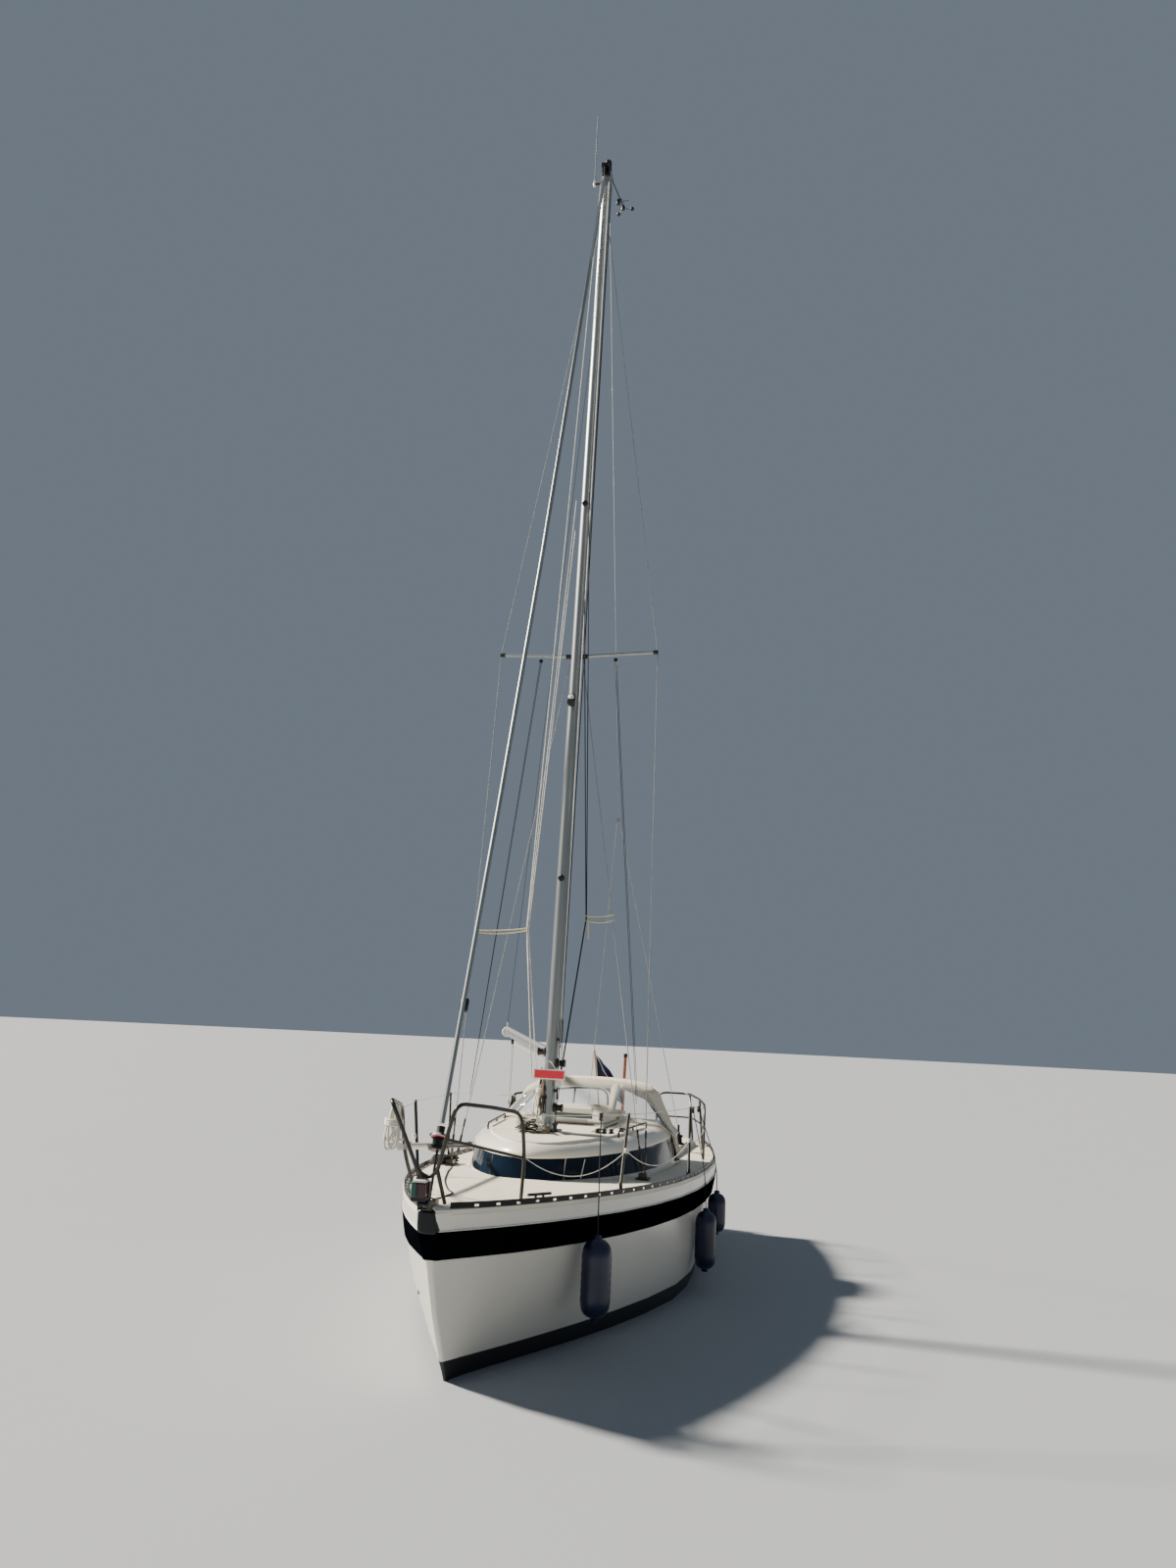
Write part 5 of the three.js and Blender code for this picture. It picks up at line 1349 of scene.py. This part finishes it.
class YACHT_OT_rig_fittings(YachtOperator, bpy.types.Operator):
    """Fits the rigging screws, spreader ends, deck light, furling gear and masthead gear"""
    bl_idname = "yacht.rig_fittings"
    bl_label = "Rig fittings"

    def execute(self, context):
        screws, ends = [], []
        for _, side in SIDES:
            for line in SHROUDS:
                low, high = on_side(line, side)
                screws.append((add_turned, RIGGING_SCREW, low, (high - low).normalized(), 12))
            tip, root = Vector((side * 0.749, -0.510, 5.715)), Vector((side * 0.060, -0.556, 5.669))
            along = (tip - root).normalized()
            ends.append((add_tube, [root - along * 0.004, root + along * 0.045], 0.046, 14))
            ends.append((add_tube, [tip - along * 0.030, tip + along * 0.016], 0.040, 14))
        assemble("rigging_screws", stainless, *screws, crease=40.0, slot="steel")
        assemble("spreader_ends", black_plastic, *ends, crease=40.0)

        low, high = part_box("deck_light")
        middle = (low + high) / 2
        assemble("deck_light_case", black_plastic, (add_box, low, high), (round_edges, 0.013, 3), crease=40.0,
                 replaces=("deck_light",), slot="black")
        lens = mm("0 -10, 26 -10, 26 4, 18 10, 0 12")
        turned_piece("deck_light_lens", white_plastic, lens, (middle.x, low.y - 0.002, high.z - 0.030),
                     (0, -0.85, 0.5), 20, crease=40.0)
        hood = mm("0 -30, 30 -30, 34 0, 36 10, 0 14")
        turned_piece("deck_light_hood", black_plastic, hood, (middle.x, low.y + 0.006, low.z + 0.030),
                     (0, -1, -0.25), 20, crease=40.0)
        for fitting in RIG_FITTINGS:
            turned_piece(*fitting, crease=40.0)
        places = [(x, mast_at(MASTHEAD).y - 0.070, 11.090) for x in (-0.034, -0.012, 0.012, 0.034)]
        sheaves = [(add_turned, SHEAVE, place, (1, 0, 0), 18) for place in places]
        assemble("masthead_sheaves", black_plastic, *sheaves, crease=40.0)
        assemble("wind_gauge", black_plastic, (add_gauge,), crease=40.0)
        places = [mast_at(z) - AFT * MAST_HALF_ALONG for z in (7.235, 3.540)]
        plates = [(add_turned, EXIT_PLATE, place, -AFT, 18) for place in places]
        assemble("mast_exit_plates", black_plastic, *plates, crease=40.0)
        return {"FINISHED"}


BOOM_CAP = mm("0 -12, 52 -12, 56 0, 52 12, 0 14")
SHEET_BLOCK = mm("0 -12, 26 -12, 30 0, 26 12, 0 12")


class YACHT_OT_boom_gear(YachtOperator, bpy.types.Operator):
    """Rigs the boom: end cap, topping lift, sheet block, mainsheet and lacing"""
    bl_idname = "yacht.boom_gear"
    bl_label = "Boom gear"

    def execute(self, context):
        sizes = context.scene.yacht_sizes
        end = Vector((-1.150, 1.905, 2.170))
        along = Vector((-0.410, 0.895, 0.05)).normalized()
        assemble("boom_end_cap", white_plastic, (add_turned, BOOM_CAP, end, along, 24),
                 (add_tube, [end + UP * 0.05, end + Vector((0.002, 0.0, 0.105))], 0.014, 10), body="boom",
                 crease=40.0)
        block = Vector((-1.068, 1.855, 2.068))
        assemble("boom_sheet_block", black_plastic, (add_turned, SHEET_BLOCK, block, (0.895, 0.41, 0), 20),
                 (add_tube, [block, block + UP * 0.07], 0.012, 8), body="boom", crease=40.0)
        lacing = []
        for k in range(46):
            t = k / 45
            a = t * 2 * math.pi * 5
            swing = Vector((0.05 * math.sin(a), 0.02 * math.sin(a), -0.058 - 0.018 * math.cos(a)))
            lacing.append(Vector((-1.000, 1.790, 2.120)).lerp(Vector((-0.480, 0.560, 2.050)), t) + swing)
        tube_piece("boom_lacing", lacing, sizes.thin_line, white_rope, "boom")
        masthead = (0.030, -0.225, 11.060)
        path = hanging(masthead, (-1.148, 1.905, 2.262), 0.0, 60)
        lift = tube_piece("topping_lift", path, sizes.thin_line, dark_rope, None)
        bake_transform(lift)
        rail = Vector((-1.060, 1.820, 1.430))
        legs = []
        for x in (-0.010, 0.010):
            shift = Vector((x, 0, 0))
            leg = [rail + shift, block.lerp(rail, 0.5) + shift, block + shift - UP * 0.02]
            legs.append(smooth_path(leg, 0.04))
        sheet = tubes_piece("mainsheet", legs, sizes.halyard, white_rope, None)
        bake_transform(sheet)
        return {"FINISHED"}


BOW_ROLLER = mm("0 -27, 24 -27, 14 -8, 14 8, 24 27, 0 27")
BOW_DRAIN = mm("0 -4, 16 -4, 18 2, 12 5, 0 1")
# The furling line from its drum to the side deck: across, along, height over the deck
FURLING_RUN = ((-0.070, -3.420, 0.006), (-0.086, -3.118, 0.005), (-0.111, -2.937, 0.005),
               (-0.221, -2.708, 0.005), (-0.461, -2.048, 0.005), (-0.684, -1.301, 0.005),
               (-0.775, -0.933, 0.005), (-0.850, -0.700, 0.006))


def cleat_shapes(base, way):
    """A mooring cleat: two feet and the bar across them."""
    feet = [
        (add_tube, [base + way * shift, base + way * shift + UP * 0.036], 0.018, 10)
        for shift in (-0.035, 0.035)
    ]
    bar = [base + way * t + UP * 0.042 for t in (-0.105, -0.06, 0.06, 0.105)]
    return [*feet, (add_tube, bar, 0.020, 12)]


class YACHT_OT_foredeck(YachtOperator, bpy.types.Operator):
    """Fits the bow roller, light bracket, pole, furling line, hull drain and the cleats fore and aft"""
    bl_idname = "yacht.foredeck"
    bl_label = "Foredeck gear"

    coil_turns: bpy.props.IntProperty(
        name="Coil turns", description="Turns of the furling line's coil", default=15
    )

    def execute(self, context):
        sizes = context.scene.yacht_sizes
        deck = surface_of("deck")
        plates = (
            (add_box, (-0.035, -3.860, 1.108), (-0.029, -3.660, 1.168)),
            (add_box, (0.029, -3.860, 1.108), (0.035, -3.660, 1.168)),
            (add_box, (-0.035, -3.790, 1.100), (0.035, -3.650, 1.112)),
        )
        assemble("bow_roller_cheeks", stainless, *plates, (round_edges, 0.0025, 2), slot="steel")
        turned_piece("bow_roller", black_plastic, BOW_ROLLER, (0, -3.835, 1.142), (1, 0, 0), 20)
        low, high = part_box("nav_light")
        cap = (low.x + 0.010, low.y + 0.004, high.z - 0.004), high + Vector((-0.004, 0.004, 0.012))
        assemble("nav_light_cap", white_plastic, (add_box, *cap), (round_edges, 0.005, 3))
        plate = low + Vector((0.002, 0.008, -0.020)), (high.x + 0.002, high.y + 0.004, low.z + 0.004)
        back = (high.x - 0.022, high.y - 0.030, low.z), high + Vector((0.005, 0.006, 0.0))
        top = ((low.x + high.x) / 2, high.y - 0.02, low.z - 0.01)
        assemble("nav_light_bracket", black_plastic, (add_box, *plate), (add_box, *back),
                 (add_tube, [top, (-0.03, -3.775, 1.150), (-0.03, -3.75, 1.112)], 0.022, 10))
        cleats = []
        for side in (1, -1):
            cleats += cleat_shapes(on_top(deck, side * 0.450, -2.770), Vector((0.55 * side, 0.83, 0)))
        for side in (-1, 1):
            cleats += cleat_shapes(on_top(deck, side * (deck_edge(3.35).x - 0.085), 3.350), AFT)
        assemble("mooring_cleats", stainless, *cleats, crease=50.0, slot="steel")

        front, back = Vector((-0.432, -3.110, 1.392)), Vector((-0.505, -1.330, 1.262))
        split = front.lerp(back, 0.55)
        along = (back - front).normalized()
        for name, start, end, thick, finish in (("white", front, split, 0.044, white_plastic),
                                                ("dark", split, back, 0.042, black_plastic)):
            tube_piece(f"stowed_pole_{name}", [start, start.lerp(end, 0.5), end], thick, finish, sides=14)
        assemble("stowed_pole_ends", white_plastic, (add_tube, [back, back + along * 0.06], 0.054, 14),
                 (add_tube, [front - along * 0.05, front], 0.050, 14), crease=50.0)
        lash = [
            front + Vector((0.029 * math.cos(k * 0.9), 0.10 * k / 40 + 0.02, 0.029 * math.sin(k * 0.9)))
            for k in range(40)
        ]
        tube_piece("pole_lashing", lash, 0.009, white_rope, sides=6)

        thick = 0.010
        run = [on_top(deck, x, y, lift) for x, y, lift in FURLING_RUN]
        line = smooth_path([(-0.050, -3.640, 1.175), (-0.070, -3.560, 1.150), *run], 0.04)
        for k in range(1, self.coil_turns * 20):
            a = -0.9 + 2 * math.pi * k / 20
            turn = k // 20
            r = 0.088 + 0.013 * (turn % 3) - 0.008 * math.sin(a * 2 + turn)
            lift = 0.007 + thick * 1.4 * (turn // 3) + 0.005 * math.sin(a + turn * 1.7) + 0.005
            line.append(on_top(deck, -0.955 + r * 1.05 * math.cos(a), -0.560 + r * math.sin(a), lift))
        line = relaxed(line, 2)
        ball = turns_round(line[-1], 0.007, 0.0, 0.0016, 10)
        stop = tube_piece("furling_line_knot", ball, thick, dark_rope)
        free_rope("furling_line", line, thick, dark_rope)
        spot = hit(surface_of("hull"), (-ABEAM, -2.944, 0.459), (1, 0, 0))
        turned_piece("bow_drain", black_plastic, BOW_DRAIN, spot, (-0.92, -0.38, 0), 18)
        return {"FINISHED"}


POST_CAP = mm("0 0, 24 0, 25 35, 20 46, 0 48")
STAFF_TRUCK = mm("0 0, 12 0, 16 12, 10 26, 0 28")
HANDLE_HUB = mm("0 0, 16 0, 16 26, 0 28")
INSTRUMENT = mm("0 0, 55 0, 55 10, 47 14, 47 11, 0 11")
GRIP_KNOB = mm("0 0, 14 0, 14 14, 0 15")


class YACHT_OT_stern(YachtOperator, bpy.types.Operator):
    """Finishes the cockpit and stern: caps, grating, winch handles, instruments and the washboard's grip"""
    bl_idname = "yacht.stern"
    bl_label = "Cockpit and stern"

    slat: size("Slat", "Width of a slat of the cockpit grating", 0.046)
    slat_long: size("Slat length", "Length of the cockpit grating", 1.4)

    def execute(self, context):
        turned_piece("stern_post_cap", black_plastic, POST_CAP, (-0.134, 3.745, 1.930), UP, 20)
        turned_piece("flagstaff_truck", white_plastic, STAFF_TRUCK, (-0.519, 3.715, 1.985), UP, 16)
        half = self.slat / 2
        slats = [
            (add_box, (x - half, 1.480, 0.451), (x + half, 1.480 + self.slat_long, 0.466))
            for x in (-0.22, -0.165, -0.11, -0.055, 0.0, 0.055, 0.11, 0.165, 0.22)
        ]
        bearers = [(add_box, (-0.255, y, 0.4505), (0.255, y + 0.035, 0.458)) for y in (1.56, 2.20, 2.82)]
        assemble("cockpit_grating", teak, *slats, *bearers, (round_edges, 0.002, 1), crease=30.0)
        handles = []
        for _, side in SIDES:
            hub = Vector((side * 0.725, 2.400, 1.164))
            elbow = hub + Vector((side * 0.02, -0.19, 0.020))
            handles += [
                (add_turned, HANDLE_HUB, hub, UP, 14),
                (add_tube, [hub + UP * 0.018, hub + Vector((side * 0.02, -0.20, 0.022))], 0.018, 10),
                (add_tube, [elbow, hub + Vector((side * 0.02, -0.19, 0.115))], 0.026, 12),
            ]
        assemble("winch_handles", black_plastic, *handles, crease=50.0)
        dials = [(add_turned, INSTRUMENT, (x, 1.390, 1.150), AFT, 28) for x in (0.46, 0.62)]
        assemble("bulkhead_instruments", black_plastic, *dials, crease=40.0)
        assemble("washboard_grip", stainless, (add_box, (-0.120, 1.3815, 1.180), (0.120, 1.3875, 1.200)),
                 (add_turned, GRIP_KNOB, (0.0, 1.384, 1.300), AFT, 16), slot="steel")
        return {"FINISHED"}


class YACHT_OT_hatch_trim(YachtOperator, bpy.types.Operator):
    """Trims the sea hood's front and the sliding hatch, with painted shade on the front face and a painted
    shadow strip under it
    """
    bl_idname = "yacht.hatch_trim"
    bl_label = "Hatch trim"

    half: size("Half width", "From the middle of the sea hood's lip to its end", 0.255)

    def execute(self, context):
        low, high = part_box("sea_hood")
        front, half = low.y, self.half
        lip = [Vector((x, front - 0.004, high.z + 0.016)) for x in (-half, 0.03 - half, half - 0.03, half)]
        assemble("sea_hood_lip", smooth_gelcoat, (add_tube, lip, 0.056, 18), (round_edges, 0.020, 3),
                 crease=50.0)
        # Painted shade: a slate plate over the sea hood's front face, standing for the shade on it
        panel = (-half + 0.01, front - 0.005, low.z + 0.044), (half - 0.01, front + 0.006, high.z - 0.014)
        assemble("sea_hood_panel", shade_slate_panel, (add_box, *panel))
        bar = (-half + 0.03, front - 0.030, low.z), (half - 0.05, front - 0.008, low.z + 0.038)
        assemble("sea_hood_bar", smooth_gelcoat, (add_box, *bar), (round_edges, 0.006, 3), crease=50.0)
        # Painted shadow: a thin black box under the front face, standing for the shadow that face casts
        slot = (-half + 0.02, front - 0.075, low.z - 0.006), (half + 0.02, front - 0.004, low.z + 0.002)
        assemble("sea_hood_slot", black_plastic, (add_box, *slot))
        low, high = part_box("sliding_hatch")
        grip = [
            (x, high.y - 0.05, high.z + lift)
            for x, lift in ((-0.10, -0.004), (-0.10, 0.020), (0.10, 0.020), (0.10, -0.004))
        ]
        assemble("hatch_grip", stainless, (add_tube, grip, 0.012, 10), body="hatch", crease=50.0,
                 slot="steel")
        return {"FINISHED"}


PROPELLER_NUT = mm("0 0, 30 0, 36 30, 20 60, 0 62")


class YACHT_OT_underwater(YachtOperator, bpy.types.Operator):
    """Fits the propeller's nut below the waterline"""
    bl_idname = "yacht.underwater"
    bl_label = "Underwater fittings"

    shaft_tilt: bpy.props.FloatProperty(
        name="Shaft tilt", description="How far the shaft slopes down aft", default=math.radians(9),
        subtype="ANGLE", unit="ROTATION"
    )

    def execute(self, context):
        shaft = Vector((0, math.cos(self.shaft_tilt), -math.sin(self.shaft_tilt)))
        hub = Vector((0, 2.700, -0.520)) + shaft * 0.088
        turned_piece("propeller_nut", bronze, PROPELLER_NUT, hub, shaft, 18, body="propeller")
        return {"FINISHED"}


BUILD_ORDER = (
    YACHT_OT_stage,
    YACHT_OT_hanks,
    YACHT_OT_guard_lines,
    YACHT_OT_fenders,
    YACHT_OT_foredeck,
    YACHT_OT_mast_foot,
    YACHT_OT_solid_pieces,
    YACHT_OT_toe_rails,
    YACHT_OT_band,
    YACHT_OT_roof_panel,
    YACHT_OT_window_trim,
    YACHT_OT_sprayhood,
    YACHT_OT_sign,
    YACHT_OT_flag,
    YACHT_OT_halyards,
    YACHT_OT_rig_fittings,
    YACHT_OT_boom_gear,
    YACHT_OT_hatch_trim,
    YACHT_OT_stern,
    YACHT_OT_underwater,
)


class YACHT_PT_panel(bpy.types.Panel):
    """Lists the yacht's colours, sizes and pieces"""
    bl_idname = "YACHT_PT_panel"
    bl_label = "Sailing Yacht"
    bl_space_type = "VIEW_3D"
    bl_region_type = "UI"
    bl_category = "Yacht"

    def draw(self, context):
        scene = context.scene
        for title, group in (("Colours", scene.yacht_colours), ("Sizes", scene.yacht_sizes)):
            box = self.layout.box()
            box.label(text=title)
            for key in group.bl_rna.properties.keys():
                if key not in {"rna_type", "name"}:
                    box.prop(group, key)
        for cls in BUILD_ORDER:
            self.layout.operator(cls.bl_idname)


CLASSES = (YachtColours, YachtSizes, *BUILD_ORDER, YACHT_PT_panel)


def register():
    for cls in CLASSES:
        bpy.utils.register_class(cls)
    bpy.types.Scene.yacht_colours = bpy.props.PointerProperty(type=YachtColours)
    bpy.types.Scene.yacht_sizes = bpy.props.PointerProperty(type=YachtSizes)


def unregister():
    del bpy.types.Scene.yacht_sizes
    del bpy.types.Scene.yacht_colours
    for cls in reversed(CLASSES):
        bpy.utils.unregister_class(cls)


def main():
    register()
    for cls in BUILD_ORDER:
        group, name = cls.bl_idname.split(".")
        getattr(getattr(bpy.ops, group), name)()
    bpy.context.view_layer.update()


if __name__ == "__main__":
    main()
